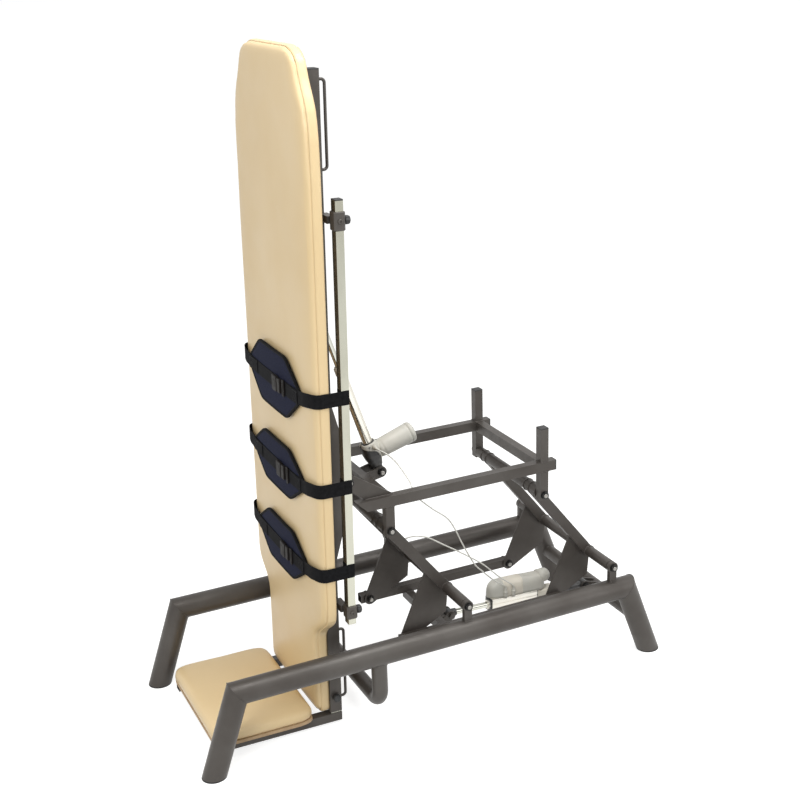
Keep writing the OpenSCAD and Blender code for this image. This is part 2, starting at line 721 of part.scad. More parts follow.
module frame_cross_members() color(frame_col) placed() {
  half = tilt_eye_w / 2 + tilt_cheek_gap;
  for (x = [high_pivot_x, high_pivot_x + pivot_pitch]) difference() {
    block([x - box_w / 2, x + box_w / 2], [-post_in, post_in], [frame_top_z - rail_h, frame_top_z]);
    block([x - box_w / 2 + box_wall, x + box_w / 2 - box_wall], [-post_in - overrun, post_in + overrun],
      [frame_top_z - rail_h + box_wall, frame_top_z - box_wall]);
  }
  both() difference() {
    hull() {
      translate([tilt_low[0], 0, tilt_low[1]])
        cyl_y(tilt_eye_r + overrun, half, half + tilt_cheek_t, hull_fn);
      block([high_pivot_x + box_w / 2, high_pivot_x + box_w / 2 + overrun], [half, half + tilt_cheek_t],
        [frame_top_z - rail_h, frame_top_z]);
    }
    translate([tilt_low[0], 0, tilt_low[1]]) cyl_y(bolt_r + seat_clear, 0, post_in);
  }
}

module frame_posts() color(frame_col) placed() both() {
  for (x = [high_pivot_x, high_pivot_x + pivot_pitch]) difference() {
    translate([x, post_in + box_w / 2, 0])
      box_tube([box_w, box_w], box_wall, high_pivot_z - post_drop, frame_top_z - rail_h);
    translate([x, 0, high_pivot_z]) cyl_y(bolt_r + seat_clear, 0, half_gauge);
  }
  translate([high_pivot_x + pivot_pitch, post_in + box_w / 2, 0])
    box_tube([box_w, box_w], box_wall, frame_top_z, rest_top - cap_t);
}

module frame_end_caps() color(black_col) placed() both() {
  translate([high_pivot_x + pivot_pitch - box_w / 2, post_in, rest_top - cap_t]) cube([box_w, box_w, cap_t]);
  translate([rail_end, post_in, frame_top_z - rail_h]) cube([cap_t, box_w, rail_h]);
}

module hinge_lugs() color(frame_col) placed() both() difference() {
  plate_y(hinge_lug_y, hinge_lug_y + hinge_plate_t) hull() {
    translate([hinge_x, hinge_z]) circle(hinge_eye_r, $fn = hull_fn);
    translate([hinge_x + hinge_lug_back, frame_top_z]) square([hinge_lug_len, overrun]);
  }
  translate([hinge_x, 0, hinge_z]) cyl_y(hinge_bolt_r + seat_clear, 0, half_gauge);
}

module frame_bolts() color(zinc_col) placed() both() {
  for (x = [high_pivot_x, high_pivot_x + pivot_pitch]) translate([x, 0, high_pivot_z])
    bolt_y(bolt_r, post_out, high_tube_half - plug_len + overrun, post_in - washer_t);
  translate([hinge_x, 0, hinge_z]) {
    inner = hinge_plate_y - face_clear;
    cyl_y(hinge_bolt_r, inner - overrun, hinge_lug_y + hinge_plate_t + overrun);
    cyl_y(washer_r, hinge_plate_y + hinge_plate_t + face_clear, hinge_lug_y);
    cyl_y(bolt_head_r, hinge_lug_y + hinge_plate_t, hinge_lug_y + hinge_plate_t + bolt_head_h, hex);
    cyl_y(bolt_head_r, inner - bolt_head_h, inner, hex);
  }
  translate([tilt_low[0], 0, tilt_low[1]]) {
    out = tilt_eye_w / 2 + tilt_cheek_gap + tilt_cheek_t;
    cyl_y(bolt_r, 0, out + overrun);
    cyl_y(bolt_head_r, out, out + bolt_head_h, hex);
  }
}

module cable_clip() color(black_col) placed() difference() {
  translate([clip_x - clip_w / 2, -post_in, clip_z - clip_h / 2]) cube([clip_w, clip_t, clip_h]);
  translate([clip_x, clip_y, clip_z + clip_h / 2 - clip_bore]) cylinder(r = cable_r + slide_clear, h = clip_h);
}

module cable_motor() color(grey_col) placed() cord(cable_motor_route, cable_r, cable_sides, 3);

// link frame

module link_bars() color(frame_col) placed() both() difference() {
  block([link_x - link_over, link_x + pivot_pitch + link_over], [link_in, link_in + link_h],
    [link_z - link_h / 2, link_z + link_h / 2]);
  block([link_x - link_over - overrun, link_x + pivot_pitch + link_over + overrun],
    [link_in + box_wall, link_in + link_h - box_wall],
    [link_z - link_h / 2 + box_wall, link_z + link_h / 2 - box_wall]);
  for (x = [link_x, link_x + pivot_pitch]) translate([x, 0, link_z]) cyl_y(bolt_r + seat_clear, 0, half_gauge);
}

module link_crossbar() color(frame_col) placed() difference() {
  block([link_cross_x - link_h / 2, link_cross_x + link_h / 2], [-link_in - link_h, link_in + link_h],
    [link_cross_z - link_h / 2, link_cross_z + link_h / 2]);
  block([link_cross_x - link_h / 2 + box_wall, link_cross_x + link_h / 2 - box_wall],
    [-link_in - link_h - overrun, link_in + link_h + overrun],
    [link_cross_z - link_h / 2 + box_wall, link_cross_z + link_h / 2 - box_wall]);
}

module link_bolts() color(zinc_col) placed() both() for (x = [link_x, link_x + pivot_pitch]) translate([x, 0, link_z]) {
  inner = arm_y - gusset_t / 2 - face_clear;
  cyl_y(bolt_r, inner - overrun, link_in + link_h + overrun);
  cyl_y(bolt_head_r, inner - bolt_head_h, inner, hex);
  cyl_y(bolt_head_r, link_in + link_h, link_in + link_h + bolt_head_h, hex);
}

module lift_rod_bracket() color(frame_col) placed() translate([0, lift_y, 0]) both() {
  from = rod_eye_w / 2 + rod_cheek_gap;
  hull() {
    translate([lift_front[0], 0, lift_front[1]]) cyl_y(rod_eye_r + overrun, from, from + rod_cheek_t, hull_fn);
    block([link_cross_x + link_h / 2, link_cross_x + link_h / 2 + overrun], [from, from + rod_cheek_t],
      [link_cross_z - link_h / 2, link_cross_z + link_h / 2]);
  }
  translate([lift_front[0], 0, lift_front[1]])
    cyl_y(bolt_head_r - overrun, from + rod_cheek_t, from + rod_cheek_t + bolt_head_h, hex);
}

// lift actuator

module lift_profile() color(grey_col) on_lift() difference() {
  union() {
    translate([-lift_box_at[1], 0, 0]) rotate([90, 0, 90]) linear_extrude(lift_box_at[1] - lift_box_at[0]) difference() {
      round_rect([lift_box_y, lift_box_h], profile_corner);
      for (sy = [-1, 1], sz = [-1, 1]) translate([sy * lift_box_y / 2, sz * profile_slot_z])
        square(profile_slot, center = true);
    }
    cyl_x(lift_rod_d / 2 + profile_collar, -lift_gland_end, -lift_box_at[1]);
  }
  cyl_x(lift_rod_d / 2 + slide_clear, -lift_gland_end - overrun, -lift_box_at[0] + overrun);
}

module gear_shell() {
  low = lift_box_h / 2 + face_clear + shell_lift;
  hull() {
    translate([-shell_back, shell_back_y, shell_back_z]) sphere(shell_back_r, $fn = hull_fn);
    translate([-shell_front, shell_y, shell_front_z]) sphere(shell_front_r, $fn = hull_fn);
    translate([-shell_front, shell_y, low]) cylinder(r = shell_front_r - shell_lift, h = shell_foot_h, $fn = hull_fn);
    translate([-shell_back, shell_y, low]) cylinder(r = shell_back_r - shell_foot_h, h = shell_foot_h, $fn = hull_fn);
  }
}

module lift_gear_housing() color(grey_col) {
  on_lift() {
    gear_shell();
    translate([-shell_front + shell_foot_h, shell_strip_in - shell_front_r, lift_box_h / 2])
      cube([shell_front - shell_back - shell_foot_h - shell_lift, shell_strip_y, shell_foot_h]);
  }
  placed() for (route = [cable_down_route, cable_hand_route])
    translate(route[len(route) - 1] - [0, 0, lift_gland_h + face_clear]) cylinder(r = gland_r, h = lift_gland_h);
}

module lift_motor_cover() color(grey_col) on_lift() difference() {
  hull() {
    translate([-motor_back, motor_y, motor_z]) sphere(motor_r, $fn = hull_fn);
    translate([-shell_back, motor_y, motor_z - shell_foot_h]) sphere(motor_r, $fn = hull_fn);
  }
  gear_shell();
}

module lift_control_box() color(grey_col) on_lift() difference() {
  union() {
    translate([-lift_control_at[1], 0, 0]) rotate([90, 0, 90]) linear_extrude(lift_control_at[1] - lift_control_at[0])
      round_rect([lift_box_y - control_in, lift_box_h - control_drop], control_corner);
    translate([-lift_control_at[1], -control_lip_w / 2, 0]) cube([control_lip, control_lip_w, lift_box_h / 2]);
  }
  cyl_x(lift_rod_d / 2 + slide_clear, -lift_control_at[1] - overrun, -lift_bore_to);
}

module lift_rear_eye() color(dark_col) on_lift() difference() {
  union() {
    cyl_y(lift_eye_r, -lift_eye_w / 2, lift_eye_w / 2);
    cyl_x(lift_eye_w / 2 - face_clear, -lift_neck_d - lift_neck_back, 0);
    cyl_x(lift_neck_d / 2 + face_clear, -lift_control_at[0], -lift_neck_d);
  }
  cyl_y(bolt_r + run_clear, -base_d, base_d);
}

module cable_down() color(grey_col) placed() cord(cable_down_route, cable_r, cable_sides, 4);
module cable_hand() color(grey_col) placed() cord(cable_hand_route, cable_r, cable_sides, 4);

module lift_rod() color(chrome_col) on_lift() cyl_x(lift_rod_d / 2, -lift_len + rod_eye_r - overrun, -lift_rod_in);

module lift_rod_eye() color(dark_col) on_lift() difference() {
  union() {
    translate([-lift_len, 0, 0]) cyl_y(rod_eye_r, -rod_eye_w / 2, rod_eye_w / 2);
    cyl_x(lift_rod_d / 2 + rod_sleeve, -lift_len, -lift_len + rod_eye_r + rod_sleeve_h);
  }
  cyl_x(lift_rod_d / 2, -lift_len + rod_eye_r - overrun, 0);
  translate([-lift_len, 0, 0]) cyl_y(bolt_r, -base_d, base_d);
}

// tilt actuator

module tilt_tube() color(chrome_col) on_tilt() difference() {
  translate([0, 0, tilt_gear_to]) cylinder(d = tilt_tube_d, h = tilt_tube_end - tilt_gear_to);
  translate([0, 0, tilt_gear_to - overrun]) cylinder(r = tilt_rod_d / 2 + slide_clear, h = tilt_tube_end);
}

module tilt_tube_cap() color(grey_col) on_tilt() difference() {
  union() {
    translate([0, 0, tilt_tube_end])
      cylinder(r = tilt_tube_d / 2 + cap_lip, h = tilt_cap_end - tilt_tube_end - cap_taper);
    translate([0, 0, tilt_cap_end - cap_taper])
      cylinder(r1 = tilt_tube_d / 2 + cap_lip, r2 = tilt_tube_d / 2 - cap_neck, h = cap_taper);
  }
  translate([0, 0, tilt_tube_end - overrun]) cylinder(r = tilt_rod_d / 2 + slide_clear, h = tilt_tube_end);
}

module tilt_gear_housing() color(grey_col) on_tilt() difference() {
  union() {
    translate([0, 0, tilt_gear_from]) linear_extrude(tilt_gear_to - tilt_gear_from)
      round_rect(tilt_gear_size, gear_corner);
    cyl_y(tilt_eye_r, -tilt_eye_w / 2, tilt_eye_w / 2);
    cylinder(r = tilt_eye_r - eye_boss, h = tilt_gear_to - tilt_gear_from);
    translate([gear_gland_at[0], 0, gear_gland_at[1]]) rotate([90, 0, 0])
      cylinder(r = gland_r, h = tilt_gear_size[1] / 2 + gland_h);
  }
  translate([0, 0, rod_bore_from]) cylinder(r = tilt_rod_d / 2 + slide_clear, h = tilt_gear_to);
  cyl_y(bolt_r + run_clear, -base_d, base_d);
}

module tilt_motor() color(grey_col) on_tilt() translate([0, 0, tilt_motor_at]) {
  r = tilt_motor_d / 2;
  rotate([0, 90, 0]) rotate_extrude() polygon([
    [0, tilt_gear_size[0] / 2], [r - motor_step, tilt_gear_size[0] / 2], [r - motor_step, motor_face],
    [r, motor_face + motor_lip], [r, motor_side_end], [r - motor_step - cap_lip, motor_shoulder],
    [r - motor_round, tilt_motor_end], [0, tilt_motor_end]]);
}

module tilt_rod() color(chrome_col) on_tilt() translate([0, 0, tilt_rod_in])
  cylinder(d = tilt_rod_d, h = tilt_len - tilt_rod_in - rod_eye_r + overrun);

module tilt_rod_eye() color(dark_col) on_tilt() difference() {
  union() {
    translate([0, 0, tilt_len]) cyl_y(rod_eye_r, -rod_eye_w / 2, rod_eye_w / 2);
    translate([0, 0, tilt_len - rod_eye_r - rod_sleeve_h])
      cylinder(r = tilt_rod_d / 2 + rod_sleeve, h = rod_eye_r + rod_sleeve_h);
  }
  cylinder(d = tilt_rod_d, h = tilt_len - rod_eye_r + overrun);
  translate([0, 0, tilt_len]) cyl_y(bolt_r, -base_d, base_d);
}

// top

module table_tubes() color(frame_col) on_table() both()
  translate([table_box / 2, table_frame_w / 2 - table_box / 2, 0]) difference() {
    box_tube([table_box, table_box], box_wall, table_low, table_high);
    translate([0, 0, foot_knob_w]) cyl_y(knob_stem_r + seat_clear, 0, table_box);
  }

module table_cross_members() color(frame_col) on_table() for (w = table_cross_w) difference() {
  half = table_frame_w / 2 - table_box;
  block(table_cross_u, [-half, half], [w - table_cross_h / 2, w + table_cross_h / 2]);
  block([table_cross_u[0] + box_wall, table_cross_u[1] - box_wall], [-half - overrun, half + overrun],
    [w - table_cross_h / 2 + box_wall, w + table_cross_h / 2 - box_wall]);
}

module table_end_plugs() color(black_col) on_table() both() {
  translate([0, table_frame_w / 2 - table_box, table_high]) cube([table_box, table_box, cap_t]);
  translate([rail_u - side_rail_u / 2, side_rail_at - side_rail_y / 2, side_rail_high])
    cube([side_rail_u, side_rail_y, cap_t]);
}

module hinge_plates() color(frame_col) on_table() both() difference() {
  plate_y(hinge_plate_y, hinge_plate_y + hinge_plate_t) hull() {
    translate([hinge_u, hinge_w]) circle(hinge_eye_r, $fn = hull_fn);
    translate([table_box, hinge_w - hinge_plate_half]) square([hinge_plate_lip, 2 * hinge_plate_half]);
  }
  translate([hinge_u, 0, hinge_w]) cyl_y(hinge_bolt_r + run_clear, 0, half_gauge);
}

module tilt_bracket() color(frame_col) on_table() both() {
  from = rod_eye_w / 2 + rod_cheek_gap;
  hull() {
    translate([tilt_high[0], 0, tilt_high[1]]) cyl_y(rod_eye_r + overrun, from, from + rod_cheek_t, hull_fn);
    block([table_cross_u[1], table_cross_u[1] + overrun], [from, from + rod_cheek_t],
      [tilt_high[1] - table_cross_h / 2, tilt_high[1] + table_cross_h / 2]);
  }
  translate([tilt_high[0], 0, tilt_high[1]])
    cyl_y(bolt_head_r - overrun, from + rod_cheek_t, from + rod_cheek_t + bolt_head_h, hex);
}

module rail_brackets() color(frame_col) on_table() both() for (span = sleeve_spans) difference() {
  union() {
    block([rail_u - side_rail_u / 2 - sleeve_wall, rail_u + side_rail_u / 2 + sleeve_wall],
      [side_rail_at - side_rail_y / 2 - sleeve_wall, side_rail_at + side_rail_y / 2 + sleeve_wall], span);
    block(rail_arm_u, [table_frame_w / 2, side_rail_at],
      [(span[0] + span[1] - rail_arm_h) / 2, (span[0] + span[1] + rail_arm_h) / 2]);
  }
  translate([rail_u, side_rail_at, 0]) linear_extrude(table_high)
    square([side_rail_u + 2 * seat_clear, side_rail_y + 2 * seat_clear], center = true);
  translate([rail_u, side_rail_at, (span[0] + span[1]) / 2]) cyl_x(knob_stem_r + seat_clear, 0, table_box);
}

module knob(stem) difference() {
  union() {
    cylinder(r = knob_stem_r, h = stem + overrun);
    translate([0, 0, stem]) cylinder(r = knob_r, h = knob_h);
  }
  for (k = [0:lobes - 1]) rotate([0, 0, 360 * k / lobes])
    translate([knob_r + knob_lobe_r / 2, 0, stem - overrun]) cylinder(r = knob_lobe_r, h = knob_h + 2 * overrun);
}

module lock_knobs() color(black_col) on_table() both() {
  for (span = sleeve_spans) translate([rail_u + side_rail_u / 2 + face_clear, side_rail_at, (span[0] + span[1]) / 2])
    rotate([0, 90, 0]) knob(rail_knob_stem);
  translate([table_box / 2, table_frame_w / 2 - box_wall, foot_knob_w]) rotate([-90, 0, 0]) knob(foot_knob_stem);
}

module side_rails() color(chrome_col) on_table() both()
  translate([rail_u, side_rail_at, 0]) box_tube([side_rail_u, side_rail_y], rail_wall, side_rail_low, side_rail_high);

module grab_handle(span) {
  r = handle_d / 2;
  translate([handle_stand, 0, span[0] + r + handle_bend])
    cylinder(r = r, h = span[1] - span[0] - handle_d - 2 * handle_bend);
  for (end = [-1, 1])
    translate([handle_stand - handle_bend, 0, end > 0 ? span[1] - r - handle_bend : span[0] + r + handle_bend])
    scale([1, 1, end]) {
      rotate([90, 0, 0]) rotate_extrude(angle = 90) translate([handle_bend, 0]) circle(r);
      translate([0, 0, handle_bend]) cyl_x(r, table_box - handle_stand + handle_bend, 0);
    }
}

module grab_handles() color(frame_col) on_table() both() translate([0, handle_y, 0])
  for (span = handle_spans) grab_handle(span);

module table_board() color(board_col) on_table() rotate([0, -90, 0])
  linear_extrude(board_t) polygon(outline(cushion_stations, board_inset));

module cushion() color(vinyl_col) on_table() translate([-cushion_back, 0, 0]) rotate([0, -90, 0])
  crowned(cushion_stations, cushion_shares, cushion_crown);

// belts lie buckled across the padded top

function pad_front(y, half) = belt_pad_u + belt_bow * (1 - y * y / half / half);

module belt_layer(half, high) {
  ys = [for (k = [0:belt_steps]) -half + 2 * half * k / belt_steps];
  polygon(concat([for (y = ys) [-pad_front(y, half), y]],
    [for (k = [belt_steps:-1:0]) [-pad_front(ys[k], half) - high, ys[k]]]));
}

module belt_pad(b) color(navy_col) on_table() translate([0, 0, b[0]]) intersection() {
  translate([0, 0, -b[1] / 2]) linear_extrude(b[1]) belt_layer(b[2], belt_pad_t);
  rotate([0, -90, 0]) linear_extrude(table_frame_w) hull() both() {
    square([b[1], b[2]], center = true);
    translate([0, b[2] - belt_w / 2]) circle(belt_w / 2 + belt_t, $fn = hull_fn);
  }
}

module chest_pad() belt_pad(belts[0]);
module hip_pad() belt_pad(belts[1]);
module knee_pad() belt_pad(belts[2]);

function belt_path(from, half) = let (edge = half + belt_w / 4) concat(
  [for (k = [0:belt_steps]) let (y = from + (edge - from) * k / belt_steps)
    [-pad_front(y, half) - belt_pad_t - stitch_gap - belt_t / 2, y]],
  [for (p = belt_route) [-p[0], p[1]]]);

module rail_loop(grow) translate([rail_u, side_rail_at])
  square([side_rail_u + 2 * grow, side_rail_y + 2 * grow], center = true);

module belt_half(from, half) {
  polygon(band(belt_path(from, half), belt_t));
  difference() {
    rail_loop(face_clear + belt_t);
    rail_loop(face_clear);
  }
}

module belt_webbing() color(black_col) on_table() for (b = belts)
  translate([0, 0, b[0] - belt_w / 2]) linear_extrude(belt_w) {
    belt_half(buckle_y + buckle_half, b[2]);
    scale([1, -1, 1]) belt_half(buckle_half - buckle_y, b[2]);
  }

module belt_buckles() color(dark_col) on_table() for (b = belts)
  translate([-pad_front(buckle_y, b[2]) - belt_pad_t - buckle_gap, buckle_y, b[0]]) rotate([0, -90, 0])
    linear_extrude(buckle_t) difference() {
      round_rect([buckle_h, 2 * buckle_half], buckle_corner);
      for (side = [-1, 1]) translate([side * buckle_h / 2, 0]) circle(buckle_notch_r);
    }

// footboard

module foot_uprights() color(chrome_col) on_table() both()
  translate([table_box / 2, table_frame_w / 2 - table_box / 2, 0]) difference() {
    inner = table_box - 2 * box_wall - 2 * slide_clear;
    box_tube([inner, inner], rail_wall, foot_bar[1][1], table_low + foot_travel + foot_grip);
  }

module foot_side_bars() color(frame_col) on_table() both() difference() {
  block([foot_bar_in - foot_bar_front, table_box], foot_bar[0], foot_bar[1]);
  block([foot_bar_in - foot_bar_front - overrun, table_box - box_wall],
    [foot_bar[0][0] + box_wall, foot_bar[0][1] - box_wall],
    [foot_bar[1][0] + box_wall, foot_bar[1][1] - box_wall]);
}

module foot_board() color(board_col) on_table() translate([0, 0, foot_bar[1][1]])
  linear_extrude(foot_board_t) polygon([for (p = outline(foot_stations, board_inset)) [-p[0], p[1]]]);

module foot_cushion() color(vinyl_col) on_table() translate([0, 0, foot_bar[1][1] + foot_board_t + cushion_gap])
  scale([-1, 1, 1]) crowned(foot_stations, cushion_shares, foot_pad_t - cushion_gap);

base_rails();
base_legs();
foot_pads();
drop_crossmember();
rear_cross_tube();
pivot_lugs();
base_bolts();
front_arm_bars();
front_arm_tubes();
front_arm_gussets();
rear_arm_bars();
rear_arm_tubes();
rear_arm_gussets();
frame_rails();
frame_cross_members();
frame_posts();
frame_end_caps();
hinge_lugs();
frame_bolts();
cable_clip();
cable_motor();
link_bars();
link_crossbar();
link_bolts();
lift_rod_bracket();
lift_profile();
lift_gear_housing();
lift_motor_cover();
lift_control_box();
lift_rear_eye();
cable_down();
cable_hand();
lift_rod();
lift_rod_eye();
tilt_tube();
tilt_tube_cap();
tilt_gear_housing();
tilt_motor();
tilt_rod();
tilt_rod_eye();
table_tubes();
table_cross_members();
table_end_plugs();
hinge_plates();
tilt_bracket();
rail_brackets();
lock_knobs();
side_rails();
grab_handles();
table_board();
cushion();
chest_pad();
hip_pad();
knee_pad();
belt_webbing();
belt_buckles();
foot_uprights();
foot_side_bars();
foot_board();
foot_cushion();
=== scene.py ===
import math

import bmesh
import bpy
import numpy as np
from mathutils import Matrix, Vector


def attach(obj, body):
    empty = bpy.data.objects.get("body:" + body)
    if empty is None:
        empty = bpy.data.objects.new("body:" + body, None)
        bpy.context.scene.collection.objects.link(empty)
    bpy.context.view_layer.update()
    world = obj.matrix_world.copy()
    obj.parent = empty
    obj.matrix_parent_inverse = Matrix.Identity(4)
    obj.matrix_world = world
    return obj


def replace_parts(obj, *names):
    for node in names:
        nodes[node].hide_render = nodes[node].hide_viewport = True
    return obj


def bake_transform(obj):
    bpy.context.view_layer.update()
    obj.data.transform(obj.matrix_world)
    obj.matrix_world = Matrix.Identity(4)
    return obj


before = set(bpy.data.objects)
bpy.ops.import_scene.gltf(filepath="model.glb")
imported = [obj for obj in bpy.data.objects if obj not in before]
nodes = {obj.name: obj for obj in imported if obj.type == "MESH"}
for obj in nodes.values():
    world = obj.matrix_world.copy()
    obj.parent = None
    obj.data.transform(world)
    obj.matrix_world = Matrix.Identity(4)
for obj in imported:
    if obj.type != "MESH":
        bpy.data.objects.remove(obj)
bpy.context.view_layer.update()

# --- View ---
# The table stands on a plain pale floor under soft light, and is seen from ahead of its near
# side and above the lift. The camera's place and turn were solved from the base's tubes.

MM = 0.001
BASE_MIDDLE = 719.717  # millimetres from the front corners back to the middle of the base


def place(points):
    """Millimetres behind the front corners, across and above the floor, as metres in the row frame."""
    return (np.asarray(points, float) - (BASE_MIDDLE, 0, 0)) * MM


view_right = Vector((0.9016262, -0.4312907, -0.0325331))
view_down = Vector((-0.1726296, -0.2898783, -0.9413658))
view_ahead = Vector((0.3965717, 0.8543763, -0.3358154))
view_from = Vector(place((-981.937, -3684.480, 2445.599)))
focal_pixels, picture_pixels, sensor = 1306.094, 800, 36.0

lens = bpy.data.cameras.new("view")
lens.sensor_width = sensor
lens.lens = focal_pixels / picture_pixels * sensor
lens.clip_end = 200
camera = bpy.data.objects.new("view", lens)
turn = Matrix((view_right, -view_down, -view_ahead)).transposed().to_4x4()
camera.matrix_world = Matrix.Translation(view_from) @ turn
bpy.context.scene.collection.objects.link(camera)
bpy.context.scene.camera = camera
bpy.context.scene.view_settings.view_transform = "Standard"


def seen_directly(tree):
    """1 for rays from the camera and from gloss and glass, 0 for the rays that light a surface."""
    rays = tree.nodes.new("ShaderNodeLightPath")
    most = rays.outputs["Is Camera Ray"]
    for other in ("Is Glossy Ray", "Is Transmission Ray"):
        pick = tree.nodes.new("ShaderNodeMath")
        pick.operation = "MAXIMUM"
        tree.links.new(most, pick.inputs[0])
        tree.links.new(rays.outputs[other], pick.inputs[1])
        most = pick.outputs[0]
    return most


def scaled(tree, value, share, base):
    """value times share plus base."""
    sum_node = tree.nodes.new("ShaderNodeMath")
    sum_node.operation = "MULTIPLY_ADD"
    tree.links.new(value, sum_node.inputs[0])
    sum_node.inputs[1].default_value = share
    sum_node.inputs[2].default_value = base
    return sum_node.outputs[0]


room_light, room_white = 0.5, 1.0
world = bpy.data.worlds.new("studio")
bpy.context.scene.world = world
world.use_nodes = True
sky = world.node_tree.nodes["Background"]
sky.inputs["Color"].default_value = (1, 1, 1, 1)
world.node_tree.links.new(
    scaled(world.node_tree, seen_directly(world.node_tree), room_white - room_light, room_light),
    sky.inputs["Strength"])

floor_mesh = bpy.data.meshes.new("floor")
floor_half, floor_glow = 60, 0.78
floor_corners = [(x * floor_half, y * floor_half, 0) for x, y in ((-1, -1), (1, -1), (1, 1), (-1, 1))]
floor_mesh.from_pydata(floor_corners, [], [(0, 1, 2, 3)])
floor = bpy.data.objects.new("floor", floor_mesh)
bpy.context.scene.collection.objects.link(floor)
floor_paint = bpy.data.materials.new("pale_floor")
floor_paint.use_nodes = True
tree = floor_paint.node_tree
matte = tree.nodes["Principled BSDF"]
matte.inputs["Base Color"].default_value = (0.5, 0.5, 0.49, 1)
matte.inputs["Roughness"].default_value = 1
matte.inputs["Specular IOR Level"].default_value = 0
matte.inputs["Emission Color"].default_value = (1, 1, 1, 1)
tree.links.new(scaled(tree, seen_directly(tree), floor_glow, 0), matte.inputs["Emission Strength"])
floor_mesh.materials.append(floor_paint)


def soft_lamp(name, stands, looks, size, watts):
    """A square area lamp that faces a point."""
    data = bpy.data.lights.new(name, "AREA")
    data.size, data.energy = size, watts
    lamp = bpy.data.objects.new(name, data)
    lamp.location = stands
    lamp.rotation_euler = (Vector(looks) - Vector(stands)).to_track_quat("-Z", "Y").to_euler()
    bpy.context.scene.collection.objects.link(lamp)


soft_lamp("key", (-3.6, -3.2, 3.6), (-0.2, 0, 1.0), 2.2, 135)
soft_lamp("overhead", (0.6, -0.9, 4.6), (0.1, 0, 0.6), 2.4, 130)
soft_lamp("fill", (2.6, -3.6, 2.2), (0.2, 0, 0.7), 2.5, 35)

# --- Cables ---
# Three light grey PVC leads of 5 mm: one from the tilt gear housing down to a block inside the
# near rail, and two that hang from that block and from the near arm to the lift actuator's glands.

cable_radius = 2.4
cable_routes = {
    "cable_motor": [
        (615, -41.3, 863.5), (615, -44.3, 863.5), (615, -47.3, 863.5), (619, -55, 861), (631, -65, 854),
        (646, -79, 843), (659, -99, 827), (667, -124, 809), (670, -153, 794), (668, -182, 786),
        (666, -198, 780), (665, -204, 773), (665, -204, 766), (665, -204, 756.3)],
    "cable_down": [
        (665, -197.7, 755), (665, -194.7, 755), (665, -191.7, 755), (672, -187, 749), (688, -184, 731),
        (712, -182, 705), (752, -177, 667), (808, -168, 618), (840, -160, 568), (867, -150, 513),
        (898, -140, 454), (931, -128, 399), (965, -117, 361), (1002, -106, 322), (1037, -97, 290),
        (1062, -90, 271), (1073, -86, 259), (1076, -84, 249), (1076, -84, 240)],
    "cable_hand": [
        (652, -134.7, 543), (652, -131.7, 543), (652, -128.7, 543), (661, -124, 550), (686, -122, 558),
        (721, -125, 555), (759, -122, 539), (818, -116, 497), (870, -111, 460), (922, -105, 421),
        (974, -99, 380), (1012, -95, 342), (1050, -92, 304), (1086, -89, 274), (1103, -86, 258),
        (1108, -84, 247), (1108, -84, 238)]}


def eased(route, steps):
    """A smooth curve through the route's points, each stretch a cubic with the neighbours' slopes."""
    p = np.asarray(route, float)
    before, after = np.vstack((p[:1], p[:-2])), np.vstack((p[2:], p[-1:]))
    t = np.arange(steps)[:, None] / steps
    cubic = [0.5 * (2 * a1 + (b1 - a0) * t + (2 * a0 - 5 * a1 + 4 * b1 - b2) * t ** 2
                    + (3 * a1 - a0 - 3 * b1 + b2) * t ** 3)
             for a0, a1, b1, b2 in zip(before, p[:-1], p[1:], after)]
    return np.vstack(cubic + [p[-1:]])


def run_along(path):
    """The length run along a path up to each of its points."""
    return np.concatenate(([0], np.cumsum(np.linalg.norm(np.diff(path, axis=0), axis=1))))


def points_at(at, run, path):
    """The points of a path at given lengths of its run."""
    return np.stack([np.interp(at, run, column) for column in path.T], -1)


def around(count):
    """Even angles once round, counter-clockwise."""
    return 2 * np.pi * np.arange(count) / count


def circle(radius, sides):
    """Points round a circle, clockwise."""
    angle = -around(sides)
    return radius * np.stack((np.cos(angle), np.sin(angle)), -1)


def grid_faces(rows, columns, wrap_rows=False, capped=False):
    """Quads between neighbours on a grid of points, closed round each row, and from the last row
    to the first where the rows wrap, or with a face over each end where it is capped."""
    r = np.arange(rows if wrap_rows else rows - 1)
    r0, c0 = np.meshgrid(r, np.arange(columns), indexing="ij")
    r1, c1 = (r0 + 1) % rows, (c0 + 1) % columns
    faces = np.stack((r0 * columns + c0, r0 * columns + c1, r1 * columns + c1, r1 * columns + c0), -1)
    faces = faces.reshape(-1, 4).tolist()
    if capped:
        faces += [list(range(columns))[::-1], [(rows - 1) * columns + k for k in range(columns)]]
    return faces


def directions(path, closed):
    """Unit vectors along a path, from each point's neighbours."""
    along = np.roll(path, -1, 0) - np.roll(path, 1, 0) if closed else np.gradient(path, axis=0)
    return along / np.linalg.norm(along, axis=1, keepdims=True)


def carried(path, section, up, closed=False):
    """A flat section, one for all or one for each point, carried along a path, square to it, with
    its second axis nearest to up. Ends are closed by a point at the section's middle."""
    along = directions(path, closed)
    side = np.cross(along, up)
    side /= np.linalg.norm(side, axis=1, keepdims=True)
    over = np.cross(side, along)
    section = np.broadcast_to(section, (len(path),) + np.shape(section)[-2:])
    points = (path[:, None] + section[:, :, :1] * side[:, None] + section[:, :, 1:] * over[:, None])
    rows, columns = points.shape[:2]
    faces = grid_faces(rows, columns, closed)
    points = points.reshape(-1, 3)
    if not closed:
        last = len(points)
        points = np.vstack((points, path[:1], path[-1:]))
        ring = np.arange(columns)
        following, end = np.roll(ring, -1), (rows - 1) * columns
        faces += np.stack((np.full(columns, last), following, ring), -1).tolist()
        faces += np.stack((np.full(columns, last + 1), ring + end, following + end), -1).tolist()
    return points, faces


